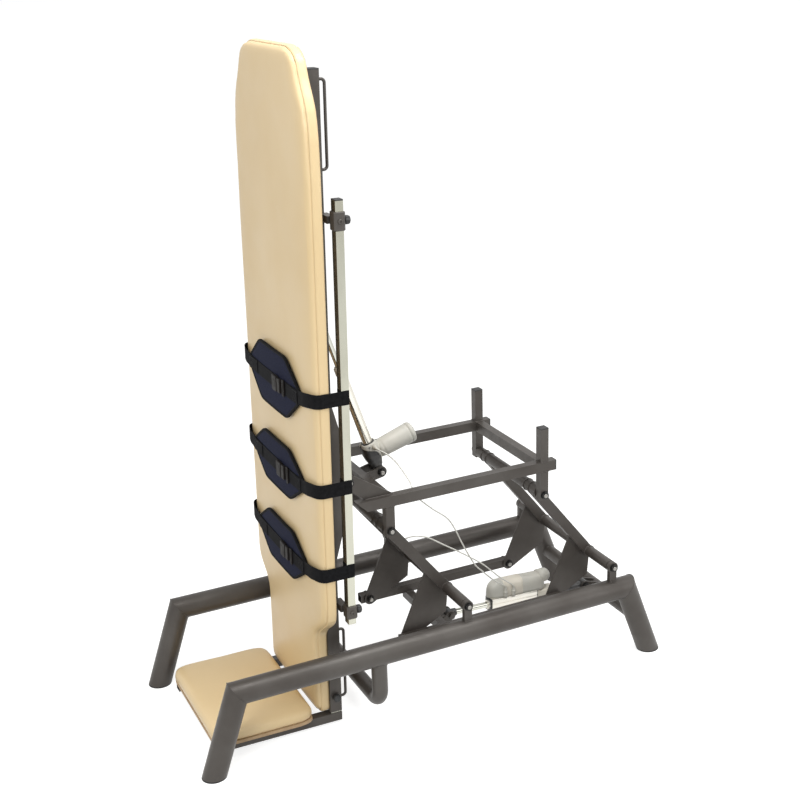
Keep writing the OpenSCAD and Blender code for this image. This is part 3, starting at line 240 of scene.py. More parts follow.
def joined(shapes):
    """Several shapes as one list of points and one of faces."""
    points, faces, count = [], [], 0
    for shape_points, shape_faces in shapes:
        points.append(np.asarray(shape_points, float))
        faces += [[count + i for i in face] for face in shape_faces]
        count += len(shape_points)
    return np.vstack(points), faces


def new_finish(name, colour, rough, metal=0.0, gloss=0.5):
    """A material whose even values stand on the shader's own sockets."""
    finish = bpy.data.materials.new(name)
    finish.use_nodes = True
    shader = finish.node_tree.nodes["Principled BSDF"]
    shader.inputs["Base Color"].default_value = (*colour, 1)
    for socket, value in (("Roughness", rough), ("Metallic", metal), ("Specular IOR Level", gloss)):
        shader.inputs[socket].default_value = value
    return finish


def add_piece(name, shape, finish, body, smooth=True):
    """A new mesh piece, in metres in the row frame, that rides on a body, if it has only one."""
    mesh = bpy.data.meshes.new(name)
    points, faces = shape
    mesh.from_pydata(np.asarray(points).tolist(), [], [list(map(int, face)) for face in faces])
    mesh.validate()
    mesh.materials.append(finish)
    if smooth:
        mesh.shade_smooth()
    piece = bpy.data.objects.new(name, mesh)
    bpy.context.scene.collection.objects.link(piece)
    if body:
        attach(piece, body)
    return piece


def grain(finish, scale, detail=2.0, stretch=(1, 1, 1)):
    """Noise in the piece's own coordinates, scale in waves to a metre."""
    tree = finish.node_tree
    where = tree.nodes.new("ShaderNodeTexCoord")
    fit = tree.nodes.new("ShaderNodeMapping")
    fit.inputs["Scale"].default_value = stretch
    noise = tree.nodes.new("ShaderNodeTexNoise")
    noise.inputs["Scale"].default_value = scale
    noise.inputs["Detail"].default_value = detail
    tree.links.new(where.outputs["Object"], fit.inputs["Vector"])
    tree.links.new(fit.outputs["Vector"], noise.inputs["Vector"])
    return noise.outputs["Fac"]


def varied(finish, socket, low, high, *noise, between=(0.3, 0.7)):
    """One of the shader's sockets led from low to high by noise between two of its values."""
    tree = finish.node_tree
    ramp = tree.nodes.new("ShaderNodeValToRGB")
    for element, position, colour in zip(ramp.color_ramp.elements, between, (low, high)):
        element.position = position
        element.color = (*colour, 1) if np.ndim(colour) else (colour, colour, colour, 1)
    tree.links.new(grain(finish, *noise), ramp.inputs["Fac"])
    tree.links.new(ramp.outputs["Color"], tree.nodes["Principled BSDF"].inputs[socket])


def relief(finish, pattern, strength, depth):
    """Raises the surface by a pattern, depth in millimetres, over any relief that it already has."""
    tree = finish.node_tree
    bump = tree.nodes.new("ShaderNodeBump")
    bump.inputs["Strength"].default_value = strength
    bump.inputs["Distance"].default_value = depth * MM
    normal = tree.nodes["Principled BSDF"].inputs["Normal"]
    if normal.links:
        tree.links.new(normal.links[0].from_socket, bump.inputs["Normal"])
    tree.links.new(pattern, bump.inputs["Height"])
    tree.links.new(bump.outputs["Normal"], normal)


cable_sheath = new_finish("cable_sheath", (0.66, 0.65, 0.6), 0.4)
varied(cable_sheath, "Base Color", (0.6, 0.59, 0.54), (0.72, 0.71, 0.66), 60)
relief(cable_sheath, grain(cable_sheath, 900), 0.25, 0.1)

lead_up = (0.3, 0.2, 1)
cable_lines = {name: place(eased(route, 6)) for name, route in cable_routes.items()}
for name, line in cable_lines.items():
    body = None if name == "cable_motor" else "lift_actuator"
    lead = add_piece(name + "_lead", carried(line, circle(cable_radius * MM, 12), lead_up), cable_sheath, body)
    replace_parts(lead, name)
    if body is None:
        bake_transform(lead)


def boot(line, wide, narrow, reach):
    """A ribbed strain relief: rings that taper from wide to narrow along a lead's first reach."""
    at = np.linspace(0, reach, 40)
    rib_pitch = 3.2
    rib = 1 + 0.1 * np.cos(2 * np.pi * at / rib_pitch)
    radius = (wide + (narrow - wide) * (at / reach) ** 0.8) * rib
    path = points_at(at, run_along(line) / MM, line)
    return carried(path, circle(1, 20)[None] * radius[:, None, None] * MM, lead_up)


# --- Base ---
# Two runs of 76 mm round tube with mitred, splayed legs, joined by a dropped cross tube and
# a rear cross tube. Welded steel, finished in a warm anthracite powder coat with fine flake.

frame_paint = new_finish("anthracite_paint", (0.066, 0.058, 0.05), 0.42, 0.3)
varied(frame_paint, "Base Color", (0.048, 0.04, 0.034), (0.084, 0.076, 0.068), 5, 5)
varied(frame_paint, "Roughness", 0.37, 0.5, 26, 5)
relief(frame_paint, grain(frame_paint, 700, 2), 0.35, 0.12)
relief(frame_paint, grain(frame_paint, 60, 3), 0.12, 0.4)


def finished(finish, *names):
    """Gives solids that stay in view a finish of this scene."""
    for name in names:
        nodes[name].data.materials.clear()
        nodes[name].data.materials.append(finish)


finished(frame_paint, "base_rails", "base_legs", "drop_crossmember", "rear_cross_tube", "pivot_lugs")

half_gauge, base_height, base_radius, base_length = 307, 270, 38, 1430
drop_x, drop_radius = 479, 26
front_reach, rear_reach = 94, 103
rear_tube_z, rear_tube_radius = 145, 24
each_side = (-1, 1)
along_y = (0, 1, 0.01)  # the way up of a bead that lies round a y axis


def bead(path, radius, up=(0, 0, 1), closed=True, lay=place):
    """A weld: a round bead along a path in millimetres, rippled every 3 mm of its length."""
    path = np.asarray(path, float)
    ripple = radius * (1 + 0.14 * np.cos(2 * np.pi * run_along(path) / 3))
    section = circle(1, 8)[None] * ripple[:, None, None]
    return carried(lay(path), section * MM, up, closed)


def line_between(start, end, count):
    """Even points from start to end."""
    return np.linspace(np.asarray(start, float), np.asarray(end, float), count)


def ring_path(centre, radius, axis, count=96):
    """Points round a circle square to the x, y or z axis."""
    angle = around(count)
    flat = {"x": (1, 2), "y": (0, 2), "z": (0, 1)}[axis]
    path = np.tile(np.asarray(centre, float), (count, 1))
    path[:, flat[0]] += radius * np.cos(angle)
    path[:, flat[1]] += radius * np.sin(angle)
    return path


def mitre_path(corner_x, y, reach, ahead, count=128):
    """The ellipse where a leg meets its rail, on the plane that halves the angle between them."""
    angle = around(count)
    lean = math.atan2(reach, base_height)
    slope = (1 - math.sin(lean)) / math.cos(lean)
    z = base_radius * np.sin(angle)
    return np.stack((corner_x - ahead * slope * z, y + base_radius * np.cos(angle), base_height + z), -1)


def saddle_path(x, side, count=96):
    """Where the dropped tube comes up into the underside of a rail: on both cylinders at once."""
    across, along = drop_radius * np.cos(around(count)), drop_radius * np.sin(around(count))
    return np.stack((x + along, side * half_gauge + across,
                     base_height - np.sqrt(base_radius ** 2 - across ** 2)), -1)


def leg_joint_path(side, count=96):
    """Where the rear cross tube meets a leaning rear leg, on the leg's round side."""
    along, up = rear_tube_radius * np.cos(around(count)), rear_tube_radius * np.sin(around(count))
    lean = math.atan2(rear_reach, base_height)
    off = along * math.cos(lean) + up * math.sin(lean)
    x = base_length + rear_reach * (base_height - rear_tube_z) / base_height
    y = half_gauge - np.sqrt(base_radius ** 2 - off ** 2)
    return np.stack((x + along, side * y, rear_tube_z + up), -1)


low_pivots, low_pivot_z = (803, 1372), 361
lug_half, lug_thick = 14, 8
lug_foot = base_height + math.sqrt(base_radius ** 2 - lug_thick ** 2)
base_welds = []
for side in each_side:
    for corner, reach, ahead in ((0, front_reach, 1), (base_length, rear_reach, -1)):
        base_welds.append(bead(mitre_path(corner, side * half_gauge, reach, ahead), 1.3, (0, 0.2, 1)))
    base_welds += [bead(saddle_path(drop_x, side), 2.6), bead(leg_joint_path(side), 2.4, along_y)]
for side in each_side:
    for x in low_pivots:
        for face in each_side:
            y = side * half_gauge + face * lug_thick
            path = line_between((x - lug_half, y, lug_foot), (x + lug_half, y, lug_foot), 40)
            base_welds.append(bead(path, 2.2, closed=False))
add_piece("base_welds", joined(base_welds), frame_paint, "base")

# --- Feet ---
# The legs are cut level with the floor and stand on rubber discs pushed into their ends.

foot_rubber = new_finish("foot_rubber", (0.025, 0.024, 0.023), 0.8)
varied(foot_rubber, "Roughness", 0.7, 0.9, 40, 4)
relief(foot_rubber, grain(foot_rubber, 1200), 0.4, 0.15)
finished(foot_rubber, "foot_pads")

# --- Pivot bolts ---
# Blackened lock nuts on plain washers, with the zinc-plated end of each bolt standing out of
# its nut. They close the arm, link, hinge and actuator pivots.

nut_black = new_finish("blackened_steel", (0.03, 0.029, 0.028), 0.38, 0.7)
varied(nut_black, "Roughness", 0.28, 0.5, 120, 3)
relief(nut_black, grain(nut_black, 1500), 0.2, 0.05)
bolt_zinc = new_finish("zinc_plate", (0.3, 0.29, 0.27), 0.28, 1.0)
varied(bolt_zinc, "Roughness", 0.22, 0.4, 300, 3)
relief(bolt_zinc, grain(bolt_zinc, 1800), 0.2, 0.03)


def turned(centre, profile, axis, sides=48, flats=0, lay=place):
    """A profile of (radius, height) turned about an axis through centre. With flats, the radius is
    cut back to a hexagon's side where that is nearer, as a nut's is."""
    profile = np.asarray(profile, float)
    axis = np.asarray(axis, float) / np.linalg.norm(axis)
    helper = np.array((0.0, 0.0, 1.0)) if abs(axis[2]) < 0.9 else np.array((1.0, 0.0, 0.0))
    first = np.cross(helper, axis)
    first /= np.linalg.norm(first)
    second = np.cross(axis, first)
    angle = around(sides)
    radius = np.broadcast_to(profile[:, :1], (len(profile), sides))
    if flats:
        step = 2 * np.pi / 6
        radius = np.minimum(radius, flats / np.cos((angle + step / 2) % step - step / 2))
    spokes = np.cos(angle)[:, None] * first + np.sin(angle)[:, None] * second
    points = np.asarray(centre, float) + radius[..., None] * spokes + profile[:, 1:, None] * axis
    return lay(points.reshape(-1, 3)), grid_faces(len(profile), sides)


CENTRE = 0.01  # the radius, in millimetres, at which a turned profile starts and ends
nut_across, nut_high, washer_radius, washer_high = 11.2, 9, 14.5, 1.6
thread_radius, thread_stands, thread_pitch = 7.6, 3.2, 0.9


def nut(centre, outward):
    """A hexagonal nut with both corners chamfered, its top dished round the bolt."""
    top = nut_across * 1.16
    return turned(centre, [(CENTRE, 0), (top - 1.5, 0), (top, 1.2), (top, nut_high - 1.6),
                           (top - 1.6, nut_high - 0.2), (9.4, nut_high), (8.2, nut_high - 0.4),
                           (CENTRE, nut_high - 0.4)], (0, outward, 0), flats=nut_across)


def washer(centre, outward):
    """A plain washer with its edge broken."""
    r, high = washer_radius, washer_high
    return turned(centre, [(CENTRE, 0), (r - 0.3, 0), (r, 0.3), (r, high - 0.4), (r - 0.4, high),
                           (CENTRE, high)], (0, outward, 0))


def bolt_end(centre, outward):
    """The bolt's end: three turns of rounded thread and a chamfered face."""
    r, root, stands = thread_radius, thread_radius - 0.7, thread_stands
    profile = [(CENTRE, -1)]
    for k in range(3):
        base = k * thread_pitch
        profile += [(root, base - 0.6), (r, base - 0.15), (root, base + 0.3)]
    profile += [(r - 1.2, stands - 0.5), (r - 2, stands), (CENTRE, stands)]
    return turned(centre, profile, (0, outward, 0), 32)


def pairs(x, y, z, way=1, middle=0):
    """Two seats, y to each side of a middle, as (x, y, z, outward)."""
    return [(x, middle + side * y, z, side * way) for side in each_side]


def fastened(body, seats, replaced):
    """Nuts, washers and bolt ends at a body's seats."""
    nuts = [nut((x, y + out * washer_high, z), out) for x, y, z, out in seats]
    nuts += [washer((x, y, z), out) for x, y, z, out in seats]
    ends = [bolt_end((x, y + out * (washer_high + nut_high - 1), z), out) for x, y, z, out in seats]
    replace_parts(add_piece(body + "_nuts", joined(nuts), nut_black, body, smooth=False), replaced)
    add_piece(body + "_bolt_ends", joined(ends), bolt_zinc, body)


cheek_out, lift_back_x, lift_back_z, lift_y = 20, 1414.985, 172.0, -60
base_seats = [seat for x in low_pivots for seat in pairs(x, half_gauge + lug_thick, low_pivot_z)]
base_seats += pairs(round(lift_back_x), cheek_out, lift_back_z, middle=lift_y)
fastened("base", base_seats, "base_bolts")

# --- Lift arms ---
# Two pairs of square-tube arms, each pair tied by round torsion tubes at both ends, with a
# laser-cut gusset under every arm that carries the link frame's pivot.

arm_run, arm_rise, arm_y, arm_half = 233, 296, 150, 15.5
gusset_half, gusset_from, gusset_to, gusset_under = 3.4, 24, 108, -17.5
finished(frame_paint, "front_arm_bars", "front_arm_tubes", "front_arm_gussets",
         "rear_arm_bars", "rear_arm_tubes", "rear_arm_gussets")


def up_arm(x, y, along, over):
    """A point beside an arm: along it from its low pivot at x, and over its middle line."""
    lean = math.atan2(arm_run, arm_rise)
    return (x - along * math.sin(lean) + over * math.cos(lean), y,
            low_pivot_z + along * math.cos(lean) + over * math.sin(lean))


for body, x in zip(("front_arms", "rear_arms"), low_pivots):
    arm_welds = []
    for side in each_side:
        for end_x, end_z, radius in ((x, low_pivot_z, 19), (x - arm_run, low_pivot_z + arm_rise, 20)):
            for face in each_side:
                centre = (end_x, side * arm_y + face * arm_half, end_z)
                arm_welds.append(bead(ring_path(centre, radius + 0.6, "y"), 2.0, along_y))
        for face in each_side:
            y = side * arm_y + face * gusset_half
            ends = [up_arm(x, y, along, gusset_under) for along in (gusset_from, gusset_to)]
            path = line_between(*ends, 60)
            arm_welds.append(bead(path, 1.9, closed=False))
    add_piece(body + "_welds", joined(arm_welds), frame_paint, body)

# --- Upper frame ---
# A rectangular frame of box section on four short posts: the rear posts run up as rests for
# the top, and the rails' pointed front ends carry the tilt hinge's lugs.

finished(frame_paint, "frame_rails", "frame_cross_members", "frame_posts", "hinge_lugs")
cap_plastic = new_finish("black_plastic", (0.022, 0.022, 0.022), 0.55)
varied(cap_plastic, "Roughness", 0.45, 0.65, 50, 4)
relief(cap_plastic, grain(cap_plastic, 1400), 0.3, 0.08)
finished(cap_plastic, "frame_end_caps", "cable_clip", "table_end_plugs")

high_pivots, high_pivot_z = (570, 1139), 657
rail_in, rail_out, rail_top, rail_bottom = 210, 240, 776, 741
post_half, hinge_lug_y, hinge_lug_half, hinge_lug_ends = 15.3, 218, 4.3, (494, 586)


def rectangle_path(centre, half_first, half_second, axis, count=40):
    """Even points round a rectangle square to the y or z axis."""
    flat = {"y": (0, 2), "z": (0, 1)}[axis]
    corners = np.tile(np.asarray(centre, float), (4, 1))
    corners[:, flat[0]] += half_first * np.array((-1, 1, 1, -1))
    corners[:, flat[1]] += half_second * np.array((-1, -1, 1, 1))
    t = np.arange(count)[:, None] / count
    return np.vstack([a + (b - a) * t for a, b in zip(corners, np.roll(corners, -1, 0))])


frame_welds = []
for side in each_side:
    for x in high_pivots:
        for z in (rail_bottom, rail_top) if x == high_pivots[1] else (rail_bottom,):
            path = rectangle_path((x, side * (rail_in + rail_out) / 2, z), post_half, post_half, "z")
            frame_welds.append(bead(path, 1.6))
        middle = (x, side * rail_in, (rail_bottom + rail_top) / 2)
        path = rectangle_path(middle, post_half, (rail_top - rail_bottom) / 2, "y")
        frame_welds.append(bead(path, 1.6, along_y))
    for face in each_side:
        y = side * hinge_lug_y + face * hinge_lug_half
        path = line_between(*[(x, y, rail_top) for x in hinge_lug_ends], 60)
        frame_welds.append(bead(path, 1.9, closed=False))
add_piece("upper_frame_welds", joined(frame_welds), frame_paint, "upper_frame")

hinge_x, hinge_z, hinge_out, hinge_in = 441.963, 845.0, 222, 203.7
tilt_low_x, tilt_low_z, tilt_cheek_out = 638, 770, 30
frame_seats = [seat for x in high_pivots for seat in pairs(x, rail_out, high_pivot_z)]
frame_seats += pairs(hinge_x, hinge_out, hinge_z) + pairs(hinge_x, hinge_in, hinge_z, -1)
frame_seats += pairs(tilt_low_x, tilt_cheek_out, tilt_low_z)
fastened("upper_frame", frame_seats, "frame_bolts")

# --- Link frame ---
# Two long bars that stay level under the arms and a cross bar beneath them, which the lift
# actuator's rod pushes, with the rod's cheeks welded on.

finished(frame_paint, "link_bars", "link_crossbar", "lift_rod_bracket")
link_ends, link_z, link_in, link_half, link_low, cross_x = (653, 1222), 211, 153.3, 15, 196, 812
gusset_in = 146.7
link_seats = [seat for x in link_ends for seat in pairs(x, link_in + 2 * link_half, link_z)]
link_seats += [seat for x in link_ends for seat in pairs(x, gusset_in, link_z, -1)]
fastened("link_frame", link_seats, "link_bolts")
link_welds = []
for side in each_side:
    path = rectangle_path((cross_x, side * (link_in + link_half), link_low), link_half, side * link_half, "z")
    link_welds.append(bead(path, 1.6))
add_piece("link_frame_welds", joined(link_welds), frame_paint, "link_frame")

# --- Lift actuator ---
# A light grey plastic gear housing with a round motor end, clipped over an aluminium profile
# that guides the chromed rod. It pivots between cheeks on the rear cross tube.

housing_plastic = new_finish("light_grey_plastic", (0.5, 0.485, 0.43), 0.38)
varied(housing_plastic, "Base Color", (0.44, 0.435, 0.39), (0.56, 0.54, 0.48), 9, 4)
varied(housing_plastic, "Roughness", 0.34, 0.46, 40, 4)
relief(housing_plastic, grain(housing_plastic, 1300, 2), 0.35, 0.1)
band_plastic = new_finish("beige_plastic", (0.62, 0.58, 0.49), 0.36)
varied(band_plastic, "Base Color", (0.57, 0.53, 0.45), (0.66, 0.62, 0.53), 12, 4)
relief(band_plastic, grain(band_plastic, 1300, 2), 0.3, 0.08)
profile_metal = new_finish("anodised_profile", (0.78, 0.75, 0.68), 0.32, 0.8)
varied(profile_metal, "Roughness", 0.26, 0.42, 40, 3, (0.2, 6, 6))
relief(profile_metal, grain(profile_metal, 400, 2, (0.05, 3, 3)), 0.2, 0.05)
dark_metal = new_finish("dark_painted_casting", (0.06, 0.06, 0.06), 0.42, 0.5)
varied(dark_metal, "Base Color", (0.045, 0.045, 0.047), (0.085, 0.083, 0.08), 30, 4)
relief(dark_metal, grain(dark_metal, 500, 3), 0.4, 0.2)
chrome = new_finish("chrome", (0.6, 0.6, 0.54), 0.12, 1.0)
varied(chrome, "Base Color", (0.5, 0.5, 0.43), (0.68, 0.68, 0.62), 9, 4, (1, 1, 0.25))
varied(chrome, "Roughness", 0.07, 0.2, 14, 5, between=(0.35, 0.75))
relief(chrome, grain(chrome, 6, 2), 0.08, 0.4)
finished(profile_metal, "lift_profile")
finished(band_plastic, "lift_control_box")
finished(dark_metal, "lift_rear_eye", "lift_rod_eye")
finished(chrome, "lift_rod")

lift_back, lift_front = np.array((lift_back_x, lift_back_z)), np.array((860.0, 198.0))
lift_dir = (lift_back - lift_front) / np.linalg.norm(lift_back - lift_front)
x_way, y_way, z_way = np.eye(3)


def on_lift(points):
    """Along the lift actuator: back towards its rear pivot, which is zero, across, and above its axis."""
    p = np.asarray(points, float)
    x = lift_back[0] + p[..., 0] * lift_dir[0] - p[..., 2] * lift_dir[1]
    z = lift_back[1] + p[..., 0] * lift_dir[1] + p[..., 2] * lift_dir[0]
    return place(np.stack((x, p[..., 1] + lift_y, z), -1))


hood_from, hood_to, hood_floor, hood_columns = -400, -166, 26.8, 72
hood_nose, hood_tail, hood_step, hood_step_long = 40, 30, -262, 26


def squarish(value, power):
    """A sine or cosine pushed out towards 1, so that the round drawn with it has flatter sides."""
    return np.sign(value) * np.abs(value) ** power


def hood_section(x, grow=0.0):
    """The gear housing across one station: its half width, height and middle. The ends draw in to
    a rounded nose, the rear swells, and a step divides the front from the rear."""
    ends = np.clip(np.minimum((x - hood_from) / hood_nose, (hood_to - x) / hood_tail), 0, 1)
    full = np.sqrt(np.clip(1 - (1 - ends) ** 2, 0.0004, 1))
    rear = np.clip((x - hood_step) / hood_step_long, 0, 1)
    rear = rear * rear * (3 - 2 * rear)
    half = (30 + 4 * rear) * full + grow
    high = (58 - 5 * rear) * (0.3 + 0.7 * full) + grow
    return half, high, 8 + 4 * rear


def hood(x, grow=0.0):
    """A moulded hood: at each station an arch, a superellipse above a flat foot, closed at both ends."""
    x = np.asarray(x, float)
    half, high, middle = hood_section(x, grow)
    cos, sin = np.cos(around(hood_columns)), np.sin(around(hood_columns))
    across = middle[:, None] + half[:, None] * squarish(cos, 0.6)
    rise = np.where(sin > 0, np.abs(sin) ** 0.66, 0)
    points = np.stack((np.repeat(x[:, None], hood_columns, 1), across, hood_floor - 0.2 + high[:, None] * rise), -1)
    faces = grid_faces(len(x), hood_columns, capped=True)
    return on_lift(points.reshape(-1, 3)), [face[::-1] for face in faces]


stations = hood_from + (hood_to - hood_from) * (0.5 - 0.5 * np.cos(np.pi * np.linspace(0, 1, 90)))
cover = add_piece("lift_gear_cover", hood(stations), housing_plastic, "lift_actuator")
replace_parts(cover, "lift_gear_housing")
band_x = np.concatenate(([-346.5], np.linspace(-346, -268, 30), [-267.5]))
band_stands = np.interp(band_x, (-346.5, -345, -269, -267.5), (-0.5, 1.1, 1.1, -0.5))
add_piece("lift_cover_band", hood(band_x, band_stands), band_plastic, "lift_actuator")


def slab(outline, low, high, edge):
    """A plate from a star-shaped outline, (p, q) about zero: rings of it, drawn in by edge at both
    faces, and closed in the middle. Returned as (p, q, height) points."""
    outline = np.asarray(outline, float)
    far = np.linalg.norm(outline, axis=1, keepdims=True)
    rings = [(None, low), (edge, low), (0, low + edge), (0, high - edge), (edge * 0.3, high - edge * 0.3),
             (edge, high), (None, high)]
    points = [np.column_stack((outline * (0.001 if inset is None else (far - inset) / far),
                               np.full(len(outline), level))) for inset, level in rings]
    return np.vstack(points), grid_faces(len(rings), len(outline))


def box_outline(half_p, half_q, corner, count=10):
    """A rectangle about zero with round corners, counter-clockwise."""
    arcs = []
    for k, (sp, sq) in enumerate(((1, 1), (-1, 1), (-1, -1), (1, -1))):
        a = np.linspace(0, np.pi / 2, count) + k * np.pi / 2
        arcs.append(np.column_stack((sp * (half_p - corner) + corner * np.cos(a),
                                     sq * (half_q - corner) + corner * np.sin(a))))
    return np.vstack(arcs)


def plate(shape, first, second, up, origin, lay):
    """A slab's (p, q, height) laid along three directions from an origin, in millimetres."""
    points, faces = shape
    axes = np.array((first, second, up), float)
    if np.linalg.det(axes) < 0:
        faces = [face[::-1] for face in faces]
    return lay(points @ axes + np.asarray(origin, float)), faces


end_plates = [plate(slab(box_outline(half_y, half_z, 5), 0, thick, 0.7), y_way, z_way, x_way, (x, 0, 0), on_lift)
              for x, thick, half_y, half_z in ((-395.2, 2.0, 24.8, 26.3), (-209.2, 1.9, 25.6, 27.0))]
add_piece("lift_end_plates", joined(end_plates), dark_metal, "lift_actuator")

lid_x, lid_y, screw_x, screw_z = -171.5, -22, 27.5, 14
lid_slabs = [(slab(box_outline(33, 18.5, 3), 0, 0.9, 0.4), (lid_x, lid_y, 0))]
lid_slabs += [(slab(circle(2.6, 20)[::-1], 0, 1.5, 0.5), (lid_x + p * screw_x, lid_y - 0.2, q * screw_z))
              for p in each_side for q in each_side]
lid = [plate(shape, x_way, z_way, -y_way, origin, on_lift) for shape, origin in lid_slabs]
add_piece("lift_box_lid", joined(lid), band_plastic, "lift_actuator")

dome = np.linspace(0.02, np.pi / 2, 14)
motor_profile = [(CENTRE, 0), (24.6, 0), (24.6, 22)] + list(zip(25 * np.cos(dome), 24 + 25 * np.sin(dome)))
cap = add_piece("lift_motor_end", turned((-192, 10, 65), motor_profile, (1, 0, 0.06), 64, lay=on_lift),
                housing_plastic, "lift_actuator")
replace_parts(cap, "lift_motor_cover")

ring_profile = [(9.5, -2.2), (15.6, -2.2), (16.6, -1.2), (16.6, 1.2), (15.6, 2.2), (9.5, 2.2), (9.5, -2.2)]
eye_rings = [turned((0, side * 15.4, 0), ring_profile, y_way, lay=on_lift) for side in each_side]
add_piece("lift_eye_rings", joined(eye_rings), band_plastic, "lift_actuator")

gland_high = 24.3
gland_profile = [(CENTRE, 0), (7, 0), (7, 15), (6.4, 15.6), (6.4, 16.6), (8.4, 17), (8.4, 22.6), (7, 24),
                 (CENTRE, 24)]
gland_shapes = []
for name in ("cable_down", "cable_hand"):
    gland_shapes.append(turned(np.array(cable_routes[name][-1]) - gland_high * z_way, gland_profile, z_way))
    gland_shapes.append(boot(cable_lines[name][::-1], 6.2, 3.0, 22))
add_piece("lift_cable_glands", joined(gland_shapes), housing_plastic, "lift_actuator")

# --- Tilt actuator ---
# A bright steel tube with a pale end ring, held in a gear block under a grey cover, and a grey round motor that
# stands square to it. Its chromed rod is pinned under the top. The block's dark eye below the cover is cast metal;
# its dark side left bare beside the cover, away from the motor, is painted shade on a housing that is grey all round.

steel_tube = new_finish("bright_steel_tube", (0.8, 0.77, 0.69), 0.2, 1.0)
varied(steel_tube, "Roughness", 0.15, 0.26, 20, 4)
relief(steel_tube, grain(steel_tube, 30, 2, (1, 1, 0.1)), 0.05, 0.03)
finished(steel_tube, "tilt_tube")
finished(housing_plastic, "tilt_tube_cap")
finished(chrome, "tilt_rod")
finished(dark_metal, "tilt_rod_eye")
finished(frame_paint, "tilt_bracket")

tilt_low, tilt_high = np.array((tilt_low_x, tilt_low_z)), np.array((414.976, 1459.064))
tilt_dir = (tilt_high - tilt_low) / np.linalg.norm(tilt_high - tilt_low)


def on_tilt(points):
    """Along the tilt actuator: towards its motor, across, and up its tube from the lower pivot."""
    p = np.asarray(points, float)
    x = tilt_low[0] + p[..., 2] * tilt_dir[0] + p[..., 0] * tilt_dir[1]
    z = tilt_low[1] + p[..., 2] * tilt_dir[1] - p[..., 0] * tilt_dir[0]
    return place(np.stack((x, p[..., 1], z), -1))


gear_heights = (-19, -16, -8, 0, 14, 30, 46, 66, 86, 98, 105, 108.5, 109)
gear_along = (2, 10, 16.6, 17.4, 17.4, 21, 27, 30.6, 30.6, 27.5, 25, 22.5, 17.2)
gear_across = (20, 21.4, 22.6, 22.8, 22.8, 24.5, 27.4, 28.8, 28.8, 27, 25, 22.5, 17.2)


def gear_block(w, round_by, grow=0.0):
    """The casting at heights w and angles round it: an oval that swells from the eye to the gears
    and closes round the tube, as (towards the motor, across, up) points."""
    along = np.interp(w, gear_heights, gear_along) + grow
    across = np.interp(w, gear_heights, gear_across) + grow
    return np.stack((along * squarish(np.cos(round_by), 0.72), across * squarish(np.sin(round_by), 0.72), w), -1)


def smoothed(values, times):
    """Values with their neighbours' mean taken a number of times, the ends kept."""
    values = np.array(values, float)
    for _ in range(times):
        values[1:-1] = (values[:-2] + values[1:-1] * 2 + values[2:]) / 4
    return values


def make_consistent(piece):
    """Merges doubled points and turns every face outwards."""
    work = bmesh.new()
    work.from_mesh(piece.data)
    bmesh.ops.remove_doubles(work, verts=work.verts, dist=1e-6)
    bmesh.ops.recalc_face_normals(work, faces=work.faces)
    work.to_mesh(piece.data)
    work.free()


rows = columns = 72
w, round_by = np.meshgrid(np.linspace(gear_heights[0], gear_heights[-1], rows), -around(columns), indexing="ij")
faces = [face[::-1] for face in grid_faces(rows, columns, capped=True)]
# the dark casting: its eye below the cover is its own dark metal, and its side left bare beside the cover is painted
# shade
gear_casting_and_shade = add_piece("tilt_gear_casting_and_painted_shade", (on_tilt(gear_block(w, round_by).reshape(-1, 3)), faces), dark_metal,
                 "tilt_actuator")
make_consistent(gear_casting_and_shade)
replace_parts(gear_casting_and_shade, "tilt_gear_housing")

# the cover reaches further round the casting towards the tube, in radians to either side; where it leaves the
# dark casting bare, away from the motor, that dark is painted shade on a housing that is grey all round
rows, columns = 60, 40
w = np.linspace(20, 108.6, rows)
reach = np.interp(w, (20, 34, 52, 74, 88, 96, 101, 108.6), (0.5, 0.75, 0.95, 1.3, 1.7, 2.3, 3.1, 3.1))
round_by = smoothed(reach, 5)[:, None] * np.linspace(-1, 1, columns)
outer, inner = (gear_block(np.repeat(w[:, None], columns, 1), round_by, grow) for grow in (1.7, -0.4))
loop = np.concatenate((outer, inner[:, ::-1]), axis=1)
gear_cover = add_piece("tilt_gear_cover", (on_tilt(loop.reshape(-1, 3)), grid_faces(rows, 2 * columns, capped=True)),
                       housing_plastic, "tilt_actuator")
make_consistent(gear_cover)

motor_height, motor_end = 66, 160
motor_profile = [(CENTRE, 22), (26, 22), (29.5, 30), (30.6, 36), (30.6, 40), (31.6, 41.4), (32.2, 46), (34.4, 132),
                 (34.4, 140), (33.8, 140.6), (33.8, 142), (35, 142.8), (35, 150), (34, 154.6), (31.5, 157.6),
                 (27, 159.4), (18, motor_end), (CENTRE, motor_end)]
motor = add_piece("tilt_motor_can", turned((0, 0, motor_height), motor_profile, x_way, 96, lay=on_tilt),
                  housing_plastic, "tilt_actuator")
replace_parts(motor, "tilt_motor")

screw_circle = 24
end_screw = [(CENTRE, -3), (3.2, -3), (3.2, 0.3), (2.4, 0.9), (CENTRE, 0.9)]
side_screw = [(CENTRE, -2), (3.4, -2), (3.4, 1.2), (2.6, 1.9), (CENTRE, 1.9)]
screws = [turned((motor_end - 0.4, screw_circle * math.cos(a), motor_height + screw_circle * math.sin(a)),
                 end_screw, x_way, 20, lay=on_tilt) for a in around(4) + np.pi / 4]
screws += [turned((x, -29.2, w), side_screw, -y_way, 20, lay=on_tilt) for x, w in ((17, 62), (-8, 100))]
add_piece("tilt_motor_screws", joined(screws), bolt_zinc, "tilt_actuator")

